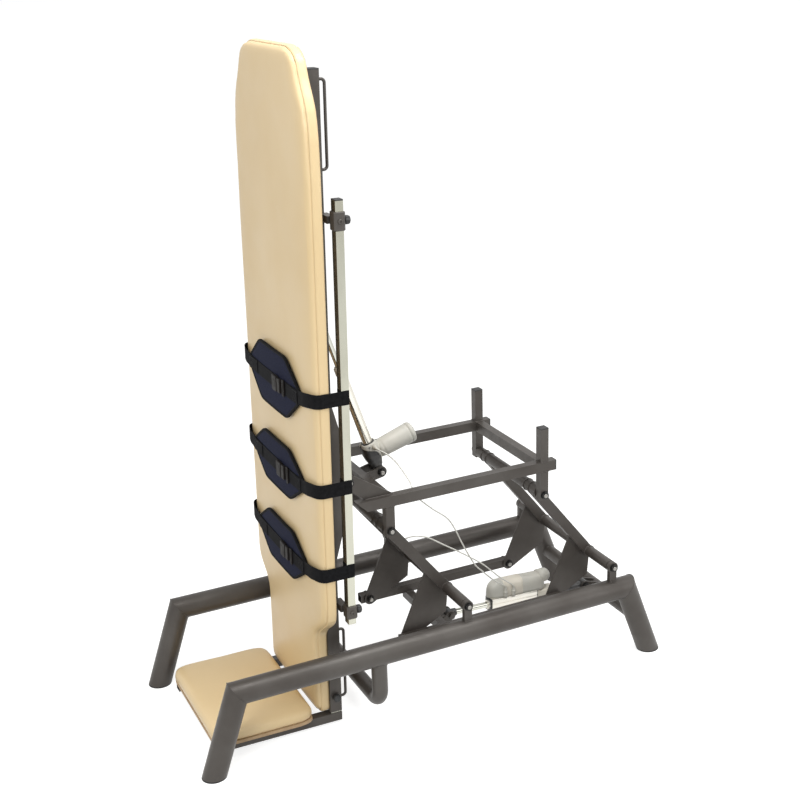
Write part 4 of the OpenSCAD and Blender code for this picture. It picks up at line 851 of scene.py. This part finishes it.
gland_profile = [(CENTRE, 0), (7, 0), (7, 10), (6.4, 10.6), (8, 11.4), (8, 17), (6.6, 18.9), (CENTRE, 18.9)]
gland_shapes = [turned((7, -22, 96), gland_profile, -y_way, lay=on_tilt),
                boot(cable_lines["cable_motor"], 5.6, 2.9, 16)]
add_piece("tilt_cable_gland", joined(gland_shapes), housing_plastic, "tilt_actuator")

# --- Top frame ---
# Two 40 mm box tubes with cross members behind the upholstered board, hinge plates, chamfered
# rail sleeves with knobs, chromed side rails and thin rod handles at both ends.

top_lean, top_x = math.radians(1), 336


def on_top(points):
    """Along the leaning top: behind its frame's front face, across, and up from the floor."""
    p = np.asarray(points, float)
    x = top_x + p[..., 0] * math.cos(top_lean) + p[..., 2] * math.sin(top_lean)
    z = p[..., 2] * math.cos(top_lean) - p[..., 0] * math.sin(top_lean)
    return place(np.stack((x, p[..., 1], z), -1))


# the rails' chrome is darker than the rods' and tinted greenish: a painted reflection of their pale greenish grey
# surroundings
rail_steel = new_finish("rail_chrome_painted_reflection", (0.48, 0.48, 0.4), 0.2, 1.0)
varied(rail_steel, "Base Color", (0.38, 0.37, 0.3), (0.55, 0.55, 0.47), 5, 4, (1, 1, 0.5))
varied(rail_steel, "Roughness", 0.14, 0.3, 24, 4, (1, 1, 0.2))
relief(rail_steel, grain(rail_steel, 7, 2), 0.06, 0.4)
finished(frame_paint, "table_tubes", "table_cross_members", "hinge_plates", "foot_side_bars")
finished(rail_steel, "side_rails")
finished(chrome, "foot_uprights")

tube_in, tube_out, tube_deep = 180, 220, 40
member_heights, member_half = (330, 900.02, 1460.22, 2030), 15
handle_spans, handle_across = ((86, 332), (1818, 2072)), 197
plate_edges, plate_middle, plate_half = (204.2, 213.2), 846.72, 250

top_welds = []
for side in each_side:
    for w in member_heights:
        path = rectangle_path((tube_deep / 2, side * tube_in, w), member_half, member_half, "y")
        top_welds.append(bead(path, 1.6, along_y, lay=on_top))
    for w in [end for span in handle_spans for end in span]:
        path = ring_path((tube_deep + 0.2, side * handle_across, w), 5.2, "x")
        top_welds.append(bead(path, 1.5, (1, 0, 0.01), lay=on_top))
    for y in plate_edges:
        ends = [(tube_deep + 0.3, side * y, plate_middle + face * plate_half) for face in each_side]
        top_welds.append(bead(line_between(*ends, 240), 1.8, x_way, closed=False, lay=on_top))
add_piece("top_frame_welds", joined(top_welds), frame_paint, "tabletop")

handle_rod, handle_turn, handle_out = 4.6, 11, 64


def handle_shape(side, low, high):
    """A rod handle: out of the tube, a quarter turn, straight along it, a quarter turn and back in."""
    bend, out = np.linspace(0, np.pi / 2, 12), handle_out - handle_turn
    first = np.column_stack((out + handle_turn * np.sin(bend), low + handle_turn * (1 - np.cos(bend))))
    last = np.column_stack((out + handle_turn * np.cos(bend), high - handle_turn * (1 - np.sin(bend))))
    line = np.vstack(([(tube_deep - 1, low)], first, last, [(tube_deep - 1, high)]))
    path = np.column_stack((line[:, 0], np.full(len(line), side * handle_across), line[:, 1]))
    return carried(on_top(path), circle(handle_rod * MM, 20), y_way)


handle_shapes = [handle_shape(side, *span) for side in each_side for span in handle_spans]
handles = add_piece("rod_handles", joined(handle_shapes), frame_paint, "tabletop")
make_consistent(handles)
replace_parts(handles, "grab_handles")

rail_u, rail_y = 50, 295
sleeve_spans, sleeve_out, sleeve_in = ((425, 468), (1660, 1715)), (17.5, 20.0), (12.6, 15.1)


def sleeve(middle, low, high, cut=5.0, edge=1.6):
    """A short box sleeve round a rail: a rectangle with cut corners outside and a plain one inside,
    joined over chamfered rims."""
    p, q = sleeve_out
    outer = np.array([(p - cut, -q), (p, cut - q), (p, q - cut), (p - cut, q),
                      (cut - p, q), (-p, q - cut), (-p, cut - q), (cut - p, -q)])
    inner = np.repeat(np.array(((1, -1), (1, 1), (-1, 1), (-1, -1))) * sleeve_in, 2, 0)
    drawn = outer * (1 - edge / np.array(sleeve_out))
    rings = [(inner, low), (drawn, low), (outer, low + edge), (outer, high - edge), (drawn, high), (inner, high)]
    points = np.vstack([np.column_stack((ring + middle, np.full(8, level))) for ring, level in rings])
    return on_top(points), grid_faces(len(rings), 8, wrap_rows=True)


def bar_between(low, high, edge=1.2):
    """A square bar between two corners, its long edges broken by a narrow chamfer."""
    low, high = np.asarray(low, float), np.asarray(high, float)
    half, middle = (high - low) / 2, (low + high) / 2
    bar = slab(box_outline(half[0], half[2], edge, 3), low[1], high[1], edge * 0.3)
    return plate(bar, x_way, z_way, y_way, middle * (1, 0, 1), on_top)


rail_screw = [(CENTRE, -1), (7.5, -1), (7.5, 3), (6.6, 4), (3.4, 4), (3.2, 1.6), (CENTRE, 1.6)]
bracket_parts = []
for side in each_side:
    for low, high in sleeve_spans:
        middle = (low + high) / 2
        inner, outer = sorted((side * tube_out, side * (rail_y - sleeve_out[1] + 0.4)))
        bracket_parts += [sleeve((rail_u, side * rail_y), low, high),
                          bar_between((25, inner, middle - 11), (50, outer, middle + 11)),
                          turned((rail_u, side * (rail_y + sleeve_out[1]), middle), rail_screw, side * y_way, 36,
                                 lay=on_top)]
brackets = add_piece("rail_sleeves", joined(bracket_parts), frame_paint, "tabletop", smooth=False)
make_consistent(brackets)
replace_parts(brackets, "rail_brackets")


def knob_shape(seat, axis, stem):
    """A star knob: a dome whose rim has six lobes, on a threaded stem."""
    angle = around(72)
    profile = np.array([(4, 0), (4, stem), (12.2, stem), (13.4, stem + 1.6), (13.8, stem + 6), (13.4, stem + 12),
                        (11.6, stem + 15), (8, stem + 16.4), (4, stem + 16.9), (CENTRE, stem + 17)], float)
    lobe = 1 - 0.13 * (0.5 + 0.5 * np.cos(6 * angle)) ** 1.5
    radius = np.where(profile[:, :1] > 8, profile[:, :1] * lobe, profile[:, :1])
    spokes = np.cos(angle)[:, None] * z_way + np.sin(angle)[:, None] * np.cross(axis, z_way)
    points = np.asarray(seat, float) + radius[..., None] * spokes + profile[:, 1:, None] * axis
    return on_top(points.reshape(-1, 3)), grid_faces(len(profile), len(angle))


knobs = [knob_shape((rail_u + sleeve_out[0] - 4.7, side * rail_y, sum(span) / 2), x_way, 8)
         for side in each_side for span in sleeve_spans]
knobs += [knob_shape((tube_deep / 2, side * (tube_out - 2.5), 101), side * y_way, 6) for side in each_side]
knob_piece = add_piece("star_knobs", joined(knobs), cap_plastic, "tabletop")
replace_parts(knob_piece, "lock_knobs")

# --- Upholstered top ---
# Foam on a ply board under cream vinyl with a fine leather grain, drawn tight round the edges
# and stapled behind. The foot end is narrow and the head end tapers in a rounded point.

vinyl = new_finish("cream_vinyl", (0.74, 0.56, 0.31), 0.38)
varied(vinyl, "Base Color", (0.715, 0.54, 0.295), (0.76, 0.585, 0.335), 3, 4)
varied(vinyl, "Roughness", 0.34, 0.46, 8, 5)


def leather_cells(finish, scale):
    """The distance to the nearest cell edge, for a vinyl's embossed grain."""
    tree = finish.node_tree
    where = tree.nodes.new("ShaderNodeTexCoord")
    cells = tree.nodes.new("ShaderNodeTexVoronoi")
    cells.feature = "DISTANCE_TO_EDGE"
    cells.inputs["Scale"].default_value = scale
    tree.links.new(where.outputs["Object"], cells.inputs["Vector"])
    return cells.outputs["Distance"]


relief(vinyl, leather_cells(vinyl, 650), 0.25, 0.25)
relief(vinyl, grain(vinyl, 30, 3), 0.1, 0.6)

board_ply = new_finish("birch_ply", (0.5, 0.34, 0.2), 0.65)
varied(board_ply, "Base Color", (0.4, 0.27, 0.15), (0.56, 0.4, 0.24), 30, 5, (1, 1, 0.06))
relief(board_ply, grain(board_ply, 300, 3, (1, 1, 0.05)), 0.3, 0.2)
finished(board_ply, "table_board", "foot_board")

# (height up the top, half width) from the foot end to the head end
top_outline = np.array([
    (47, 198), (50, 206), (56, 212), (68, 215), (200, 215), (320, 215), (335, 217), (350, 224), (365, 238),
    (380, 257), (395, 277), (410, 293), (425, 302), (445, 306), (480, 308), (700, 309), (950, 309),
    (1200, 309), (1450, 309), (1700, 309), (1800, 308), (1860, 306), (1920, 303), (1965, 297), (2000, 289),
    (2030, 275), (2056, 259), (2080, 246), (2105, 236), (2128, 225), (2143, 209), (2153, 192), (2159, 176),
    (2163, 160), (2165, 150)], float)
top_ends = [(47, 0.55), (50, 0.78), (56, 0.92), (68, 1), (2143, 1), (2153, 0.96), (2159, 0.88), (2163, 0.74),
            (2165, 0.5)]
pad_section = [(0, 0), (0.5, 0), (0.95, 0), (0.993, 0.03), (1, 0.2), (1, 0.5), (0.992, 0.7), (0.972, 0.84),
               (0.93, 0.92), (0.8, 0.965), (0.55, 0.985), (0.25, 0.997), (0, 1)]


def upholstery(outline, back, front, ends, pitch=8.0):
    """A closed pad between two depths. Its section, in shares of the half width and of the depth,
    is flat behind, upright at the rim, rolled over in a long curve and crowned in the middle, and
    it sinks towards both ends. Returned as points (depth, across, along) and faces."""
    run = run_along(outline)
    even = points_at(np.linspace(0, run[-1], int(run[-1] / pitch)), run, outline)
    w, half = smoothed(even[:, 0], 3), smoothed(even[:, 1], 3)
    swell = smoothed(np.interp(w, *np.array(ends, float).T), 2)
    side = eased(np.column_stack((pad_section, np.zeros(len(pad_section)))), 6)[:, :2]
    side = np.clip(side, 0, 1)
    section = np.concatenate((side, (side * (-1, 1))[::-1][1:-1]))
    depth = back + (front - back) * swell[:, None] * section[:, 1]
    across = half[:, None] * section[:, 0]
    points = np.stack((-depth, across, np.repeat(w[:, None], len(section), 1)), -1)
    return points.reshape(-1, 3), grid_faces(len(w), len(section), capped=True)


foam_steps, foam_most = 20, 3.0


def filled(piece, voxel, back):
    """Lets a pad's foam fill its cover: the closed mesh is made even, blown up by some steps of
    cloth under inner pressure with each point's way capped, and laid back on the board where
    back(points) gives how far a point has gone behind it."""
    scene, finish = bpy.context.scene, piece.data.materials[0]
    even = piece.modifiers.new("even", "REMESH")
    even.mode, even.voxel_size = "VOXEL", voxel * MM

    def baked():
        """The piece's mesh as its modifiers leave it."""
        view = bpy.context.evaluated_depsgraph_get()
        return bpy.data.meshes.new_from_object(piece.evaluated_get(view))

    piece.data = baked()
    piece.modifiers.clear()
    start = np.empty(len(piece.data.vertices) * 3)
    piece.data.vertices.foreach_get("co", start)
    cloth = piece.modifiers.new("foam", "CLOTH")
    cloth.settings.quality = 6
    cloth.settings.mass = 0.3
    cloth.settings.tension_stiffness = cloth.settings.compression_stiffness = 40
    cloth.settings.bending_stiffness = 2
    cloth.settings.use_pressure = True
    cloth.settings.uniform_pressure_force = 3.0
    cloth.settings.effector_weights.gravity = 0
    for step in range(foam_steps):
        scene.frame_set(step + 1)
    moved = np.empty(len(start))
    baked().vertices.foreach_get("co", moved)
    piece.modifiers.clear()
    scene.frame_set(1)
    way = (moved - start).reshape(-1, 3)
    length = np.linalg.norm(way, axis=1, keepdims=True)
    points = start.reshape(-1, 3) + way * np.minimum(1, foam_most * MM / np.maximum(length, 1e-9))
    piece.data.vertices.foreach_set("co", (points - back(points)).ravel())
    piece.data.materials.clear()
    piece.data.materials.append(finish)
    piece.data.shade_smooth()
    finer = piece.modifiers.new("finer", "SUBSURF")
    finer.levels = finer.render_levels = 1


# a cover that is going to be filled starts a little inside its final size
slack, sink = ((2, 2.4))
board_front, cover_front = 12.3, 49.8
top_normal = np.array((math.cos(top_lean), 0.0, -math.sin(top_lean)))
board_face = on_top((-board_front, 0, 0))
pad_points, pad_faces = upholstery(top_outline - (0, slack), board_front, cover_front - sink, top_ends)
cushion = add_piece("vinyl_top", (on_top(pad_points), pad_faces), vinyl, "tabletop")
make_consistent(cushion)
filled(cushion, 10.5, lambda p: np.clip((p - board_face) @ top_normal, 0, None)[:, None] * top_normal)
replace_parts(cushion, "cushion")

# the cover's hem: down the board's edge and 20 mm over its back, stapled every 35 mm
inset, hem_count, staple_pitch = 4, 300, 35
hem_edge = points_at(np.linspace(0, 1, hem_count), np.linspace(0, 1, len(top_outline)), top_outline)
hem_w, hem_half = smoothed(hem_edge[:, 0], 4), smoothed(hem_edge[:, 1], 4) - inset
foot_end, head_end = top_outline[0, 0], top_outline[-1, 0]
hem_w = np.interp(hem_w, (foot_end, head_end), (foot_end + inset / 2, head_end - inset / 2))
hem_path = np.column_stack((np.zeros(hem_count), hem_half, hem_w))
hem_path = np.concatenate((hem_path, (hem_path * (1, -1, 1))[::-1]))
hem_section = np.array([(-1, -30), (2.1, -27), (3.0, -22), (3.3, -16), (3.3, -8), (2.8, -4.5), (1.6, -1.8),
                        (-0.4, 0.2), (-3, 0.8), (-19, 0.8), (-20, 0.3), (-19, -0.3), (-2, -0.5), (-2, -29)])
hem_shape = carried(on_top(hem_path), hem_section * MM, tuple(top_normal), closed=True)
hem = add_piece("vinyl_hem", hem_shape, vinyl, "tabletop")
make_consistent(hem)

hem_run = run_along(hem_path)
at = np.arange(20, hem_run[-1], staple_pitch)
seats = points_at(at, hem_run, hem_path)
ahead = points_at(at + 6, hem_run, hem_path) - seats
ahead /= np.linalg.norm(ahead, axis=1, keepdims=True)
inward = np.cross(ahead, x_way)
inward *= -np.sign((inward * (seats - (0, 0, 1100))).sum(1, keepdims=True))
seats = seats + inward * 14
staple = np.array([(p, q, r) for p in (-5.5, 5.5) for q, r in ((-0.5, 0.4), (0.5, 0.4), (0.5, 1.5), (-0.5, 1.5))])
staple_faces = [[0, 1, 2, 3], [7, 6, 5, 4], [0, 4, 5, 1], [1, 5, 6, 2], [2, 6, 7, 3], [3, 7, 4, 0]]
staples = (seats[:, None] + staple[:, :1] * ahead[:, None] + staple[:, 1:2] * inward[:, None]
           + staple[:, 2:] * x_way)
clear = np.abs(np.abs(seats[:, 1]) - (tube_in + tube_out) / 2) > 24
staple_set = [(on_top(points), staple_faces) for points in staples[clear]]
add_piece("hem_staples", joined(staple_set), bolt_zinc, "tabletop", smooth=False)

# --- Belts ---
# Three neoprene pads in a navy knit with a black binding, on 45 mm black webbing that runs
# round the side rails and closes with a side-release buckle beside a three-bar slide.

knit = new_finish("navy_knit", (0.006, 0.008, 0.024), 0.9, gloss=0.2)
varied(knit, "Base Color", (0.004, 0.005, 0.016), (0.011, 0.014, 0.036), 200, 3)
relief(knit, grain(knit, 900, 1, (1, 1, 0.4)), 0.7, 0.35)
relief(knit, grain(knit, 12, 3), 0.25, 2.0)
web_black = new_finish("black_webbing", (0.005, 0.005, 0.006), 0.85, gloss=0.12)
varied(web_black, "Base Color", (0.0035, 0.0035, 0.004), (0.009, 0.009, 0.01), 90, 3)


def woven(finish, along, across, depth):
    """Two crossed waves in the piece's own coordinates: ribs up the strap and picks across it."""
    tree = finish.node_tree
    where = tree.nodes.new("ShaderNodeTexCoord")
    most = tree.nodes.new("ShaderNodeMath")
    most.operation = "MAXIMUM"
    for k, (axis, scale) in enumerate((("X", across), ("Z", along))):
        wave = tree.nodes.new("ShaderNodeTexWave")
        wave.bands_direction = axis
        wave.inputs["Scale"].default_value = scale
        tree.links.new(where.outputs["Object"], wave.inputs["Vector"])
        tree.links.new(wave.outputs["Fac"], most.inputs[k])
    relief(finish, most.outputs[0], 0.5, depth)


woven(web_black, 130, 60, 0.3)
thread = new_finish("black_thread", (0.02, 0.02, 0.024), 0.6)
relief(thread, grain(thread, 2500), 0.3, 0.05)
buckle_plastic = new_finish("buckle_plastic", (0.012, 0.01, 0.009), 0.5, gloss=0.12)
varied(buckle_plastic, "Roughness", 0.44, 0.58, 60, 3)
relief(buckle_plastic, grain(buckle_plastic, 1200), 0.2, 0.05)

# each belt's pad: the height of its middle up the top, its own height, and half its width
belts = {"chest_pad": (1150, 200, 225), "hip_pad": (863, 170, 220), "knee_pad": (582, 170, 215)}
belt_width, pad_thick, buckle_at, buckle_half, belt_rise = 45, 8, -60, 33, 9.0

# (ahead of the frame, across) from a pad's end round to the side rail
belt_run = [(62, 254), (59, 272), (55, 287), (49, 299), (41, 307), (31, 311), (16, 311.3), (-10, 311.3), (-38, 311.3)]


def belt_front(y, half):
    """How far ahead of the frame a pad's inner face lies: it bows 5 mm in the middle."""
    return 54 + 5 * (1 - (y / half) ** 2)


def pad_rise(y, half, high):
    """Half a pad's height at y: full over its middle half, then drawn in straight to round ends."""
    end = half - belt_width / 2
    corner, tip, r = np.array((half / 2, high / 2)), np.array((end, 0.0)), belt_width / 2 + 2
    gap = corner - tip
    aim = math.atan2(gap[1], gap[0]) - math.acos(r / math.hypot(*gap))
    touch = tip + r * np.array((math.cos(aim), math.sin(aim)))
    a = np.abs(y)
    slope = high / 2 + (touch[1] - high / 2) * (a - corner[0]) / (touch[0] - corner[0])
    round_end = np.sqrt(np.clip(r * r - np.clip(a - end, 0, r) ** 2, 0, None))
    return np.where(a < corner[0], high / 2, np.where(a < touch[0], slope, round_end))


def pad_outline(half, high, count=400):
    """Even points round a pad, from its right tip over the top, with the corners eased."""
    y = (half + 2) * np.cos(np.linspace(0, np.pi, 800))
    up = pad_rise(y, half, high)
    loop = np.concatenate((np.column_stack((y, up)), np.column_stack((y, -up))[::-1][1:]))
    run = run_along(loop)
    even = points_at(np.arange(count) / count * run[-1], run, loop)
    for _ in range(45):
        even = (np.roll(even, 1, 0) + 2 * even + np.roll(even, -1, 0)) / 4
    return even


def knit_pad(w, high, half, rings=26):
    """A pad as two skins: rings of its outline drawn in towards the middle, puffed out by an oval
    near the rim and pressed in a little under the belt, and shut at the rim."""
    outline = pad_outline(half, high)
    share = np.linspace(0.0005, 1, rings) ** 0.75
    puff = pad_thick / 2 * (1 - share ** 14) ** 0.5
    y, up = share[:, None] * outline[:, 0], share[:, None] * outline[:, 1]
    skins = []
    for face in (1, -1):
        pressed = 0.7 * np.exp(-(up / 26) ** 4) if face == 1 else 0
        out = belt_front(np.clip(y, -half, half), half) + pad_thick / 2 + face * puff[:, None] - pressed
        skins.append(np.stack((-out, y, up + w), -1))
    grid = np.concatenate((skins[0], skins[1][::-1][1:]), axis=0)
    return on_top(grid.reshape(-1, 3)), grid_faces(*grid.shape[:2], capped=True)


def stitches(path, pitch, long, stand):
    """Short threads laid along a path on a pad's front, each a six-point bead."""
    run = run_along(path)
    at = np.arange(pitch, run[-1] - pitch, pitch)
    middle = points_at(at, run, path)
    ahead = points_at(at + 0.5, run, path) - middle
    ahead /= np.linalg.norm(ahead, axis=1, keepdims=True)
    side = np.cross(ahead, -x_way)
    one = np.array([(-long / 2, 0, 0), (0, 0.45, 0), (0, 0, stand), (0, -0.45, 0), (0, 0, -stand), (long / 2, 0, 0)])
    points = middle[:, None] + one[:, :1] * ahead[:, None] + one[:, 1:2] * side[:, None] - one[:, 2:] * x_way
    facets = [(0, 2, 1), (0, 3, 2), (0, 4, 3), (0, 1, 4), (5, 1, 2), (5, 2, 3), (5, 3, 4), (5, 4, 1)]
    return on_top(points.reshape(-1, 3)), [[6 * k + i for i in facet] for k in range(len(middle)) for facet in facets]


def strap_section(thick, wide=belt_width):
    """A flat strap's cross-section: thin, with slightly fuller selvedges."""
    half, t = wide / 2, thick / 2
    edge = [(t, half - 2.4), (t * 1.12, half - 1.2), (t * 0.9, half - 0.3), (0, half)]
    side = [(t * 0.92, q) for q in np.linspace(-half + 3.4, half - 3.4, 8)]
    right = [(p, -q) for p, q in edge[::-1]] + side + edge
    left = [(-p, q) for p, q in right[::-1]][1:-1]
    return np.array(right + left)[::-1]


up_top = on_top(z_way) - on_top((0, 0, 0))
seam_in, binding_half = 5.2, (4.6, 4.5)
turn_by = around(20)
tape = np.column_stack((binding_half[0] * squarish(np.cos(turn_by), 0.5) - 2.6,
                        binding_half[1] * squarish(np.sin(turn_by), 0.5)))
for name, (w, high, half) in belts.items():
    pad = add_piece(name + "_knit", knit_pad(w, high, half), knit, "tabletop")
    make_consistent(pad)
    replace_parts(pad, name)

    rim = pad_outline(half, high)
    rim_out = belt_front(np.clip(rim[:, 0], -half, half), half) + pad_thick / 2
    rim_path = np.column_stack((-rim_out, rim[:, 0] * 0.994, w + rim[:, 1] * 0.99))
    binding_shape = carried(on_top(rim_path), tape * MM, tuple(top_normal), closed=True)
    binding = add_piece(name + "_binding", binding_shape, web_black, "tabletop")
    make_consistent(binding)
    seam = np.vstack((rim_path, rim_path[:1]))
    seam[:, 0] -= pad_thick / 2 + 0.35
    seam[:, 1] *= 1 - seam_in / half
    seam[:, 2] = w + (seam[:, 2] - w) * (1 - seam_in / (high / 2))
    add_piece(name + "_stitching", stitches(seam, 5, 3.4, 0.4), thread, "tabletop", smooth=False)

rail_loop_half = (12.5 + 0.4 + 1, 15 + 0.4 + 1)  # the rail's, the gap's and half the strap's
webs, sewn = [], []
for w, high, half in belts.values():
    for side in each_side:
        start, edge = buckle_half + side * buckle_at, half + belt_width / 4
        y = start + (edge - start) * np.linspace(0, 1, 17)
        line = np.vstack((np.column_stack((-(belt_front(y, half) + pad_thick + 1.05), y)),
                          np.array(belt_run) * (-1, 1)))
        line = eased(np.column_stack((line, np.zeros(len(line)))), 4)
        rise = belt_rise * np.clip((line[:, 1] - half + 30) / 90, 0, 1) ** 1.3
        path = np.column_stack((line[:, 0], side * line[:, 1], w + rise))
        webs.append(carried(on_top(path), strap_section(2.0) * MM, up_top))

        # the strap's end, folded back and sewn on the pad with a crossed box
        lap_y = np.linspace(half - 96, half - 12, 18)
        lap = np.column_stack((-(belt_front(lap_y, half) + pad_thick + 3.0), side * lap_y, np.full(18, float(w))))
        webs.append(carried(on_top(lap), strap_section(1.8, 43) * MM, up_top))
        crossed_box = np.array([(-1, -1), (1, -1), (1, 1), (-1, 1), (-1, -1), (1, 1), (1, -1), (-1, 1)])
        corners = (half - 34, 0) + 15 * crossed_box
        seam = points_at(np.linspace(0, len(corners) - 1, 240), np.arange(len(corners)), corners)
        seam_out = belt_front(seam[:, 0], half) + pad_thick + 4.0
        sewn.append(stitches(np.column_stack((-seam_out, side * seam[:, 0], w + seam[:, 1])), 3.2, 2.6, 0.35))

        turn_by = around(80)
        loop_out = rail_u + rail_loop_half[0] * squarish(np.cos(turn_by), 0.35)
        loop_y = side * (rail_y + rail_loop_half[1] * squarish(np.sin(turn_by), 0.35))
        loop = np.column_stack((loop_out, loop_y, np.full(80, w + belt_rise)))
        webs.append(carried(on_top(loop), strap_section(2.0) * MM, up_top, closed=True))
web = add_piece("belt_straps", joined(webs), web_black, "tabletop")
make_consistent(web)
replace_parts(web, "belt_webbing")
add_piece("belt_stitching", joined(sewn), thread, "tabletop", smooth=False)

# a buckle's bars, each as half its length along the belt, half its height, the round of its
# corners, how far off the belt it starts and ends, its broken edge, and its place along and up
buckle_bars = [(11, 12, 4, 11, 12, 0.7, 15, 0), (13, 23, 5, 1.5, 10.2, 1.8, -21, 0),
               (4, 20, 3, 2, 11.2, 1.4, -29, 0), (9, 4, 3, 3, 9, 1.2, -4, 17.5), (9, 4, 3, 3, 9, 1.2, -4, -17.5),
               (9, 3, 2, 3, 8, 1.0, -4, 0), (2.2, 25, 2, 2.4, 6.6, 1.2, -44, 0), (2.2, 25, 2, 2.4, 6.6, 1.2, -56, 0),
               (2.0, 24, 2, 4.2, 7.4, 1.2, -50, 0), (8, 2.2, 2, 2.4, 6.6, 1.2, -50, 24.6),
               (8, 2.2, 2, 2.4, 6.6, 1.2, -50, -24.6)]
notched = box_outline(19, 25.5, 6, 12)
notch = 5 * np.exp(-((notched[:, 0] + 3) / 8) ** 2) * (np.abs(notched[:, 1]) > 15)
notched = notched - np.column_stack((np.zeros(len(notched)), np.sign(notched[:, 1]) * notch))
buckle_parts = [(slab(notched, 1, 11.6, 2.2), 13, 0)]
buckle_parts += [(slab(box_outline(long, tall, corner), low, high, edge), along, up)
                 for long, tall, corner, low, high, edge, along, up in buckle_bars]
buckles = []
for w, high, half in belts.values():
    out = belt_front(buckle_at, half) + pad_thick + 0.4
    for (points, faces), along, up in buckle_parts:
        laid = np.column_stack((-out - points[:, 2], buckle_at + along + points[:, 0], w + up + points[:, 1]))
        buckles.append((on_top(laid), faces))
buckle = add_piece("side_release_buckles", joined(buckles), buckle_plastic, "tabletop", smooth=False)
make_consistent(buckle)
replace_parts(buckle, "belt_buckles")

# --- Footboard ---
# A small upholstered platform on two box bars, carried by chromed uprights that slide in the
# top's frame tubes.

foot_outline = np.array([(57, 205), (60, 216), (66, 227), (76, 236), (92, 242), (112, 245), (230, 245),
                         (350, 245), (370, 242), (385, 236), (395, 227), (401, 216), (404, 205)], float)
foot_ends = [(57, 0.5), (60, 0.75), (66, 0.9), (76, 1), (385, 1), (395, 0.96), (401, 0.8), (404, 0.5)]
foot_top, foot_thick = 50.3, 39
pad_points, pad_faces = upholstery(foot_outline - (0, slack), 0, foot_thick - slack, foot_ends)
lie = np.stack((-pad_points[:, 2], pad_points[:, 1], foot_top - pad_points[:, 0]), -1)
foot_pad = add_piece("vinyl_footboard", (on_top(lie), pad_faces), vinyl, "footboard")
make_consistent(foot_pad)
foot_face = on_top((0, 0, foot_top))
foot_normal = up_top / np.linalg.norm(up_top)
filled(foot_pad, 7, lambda p: np.clip((p - foot_face) @ foot_normal, None, 0)[:, None] * foot_normal)
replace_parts(foot_pad, "foot_cushion")
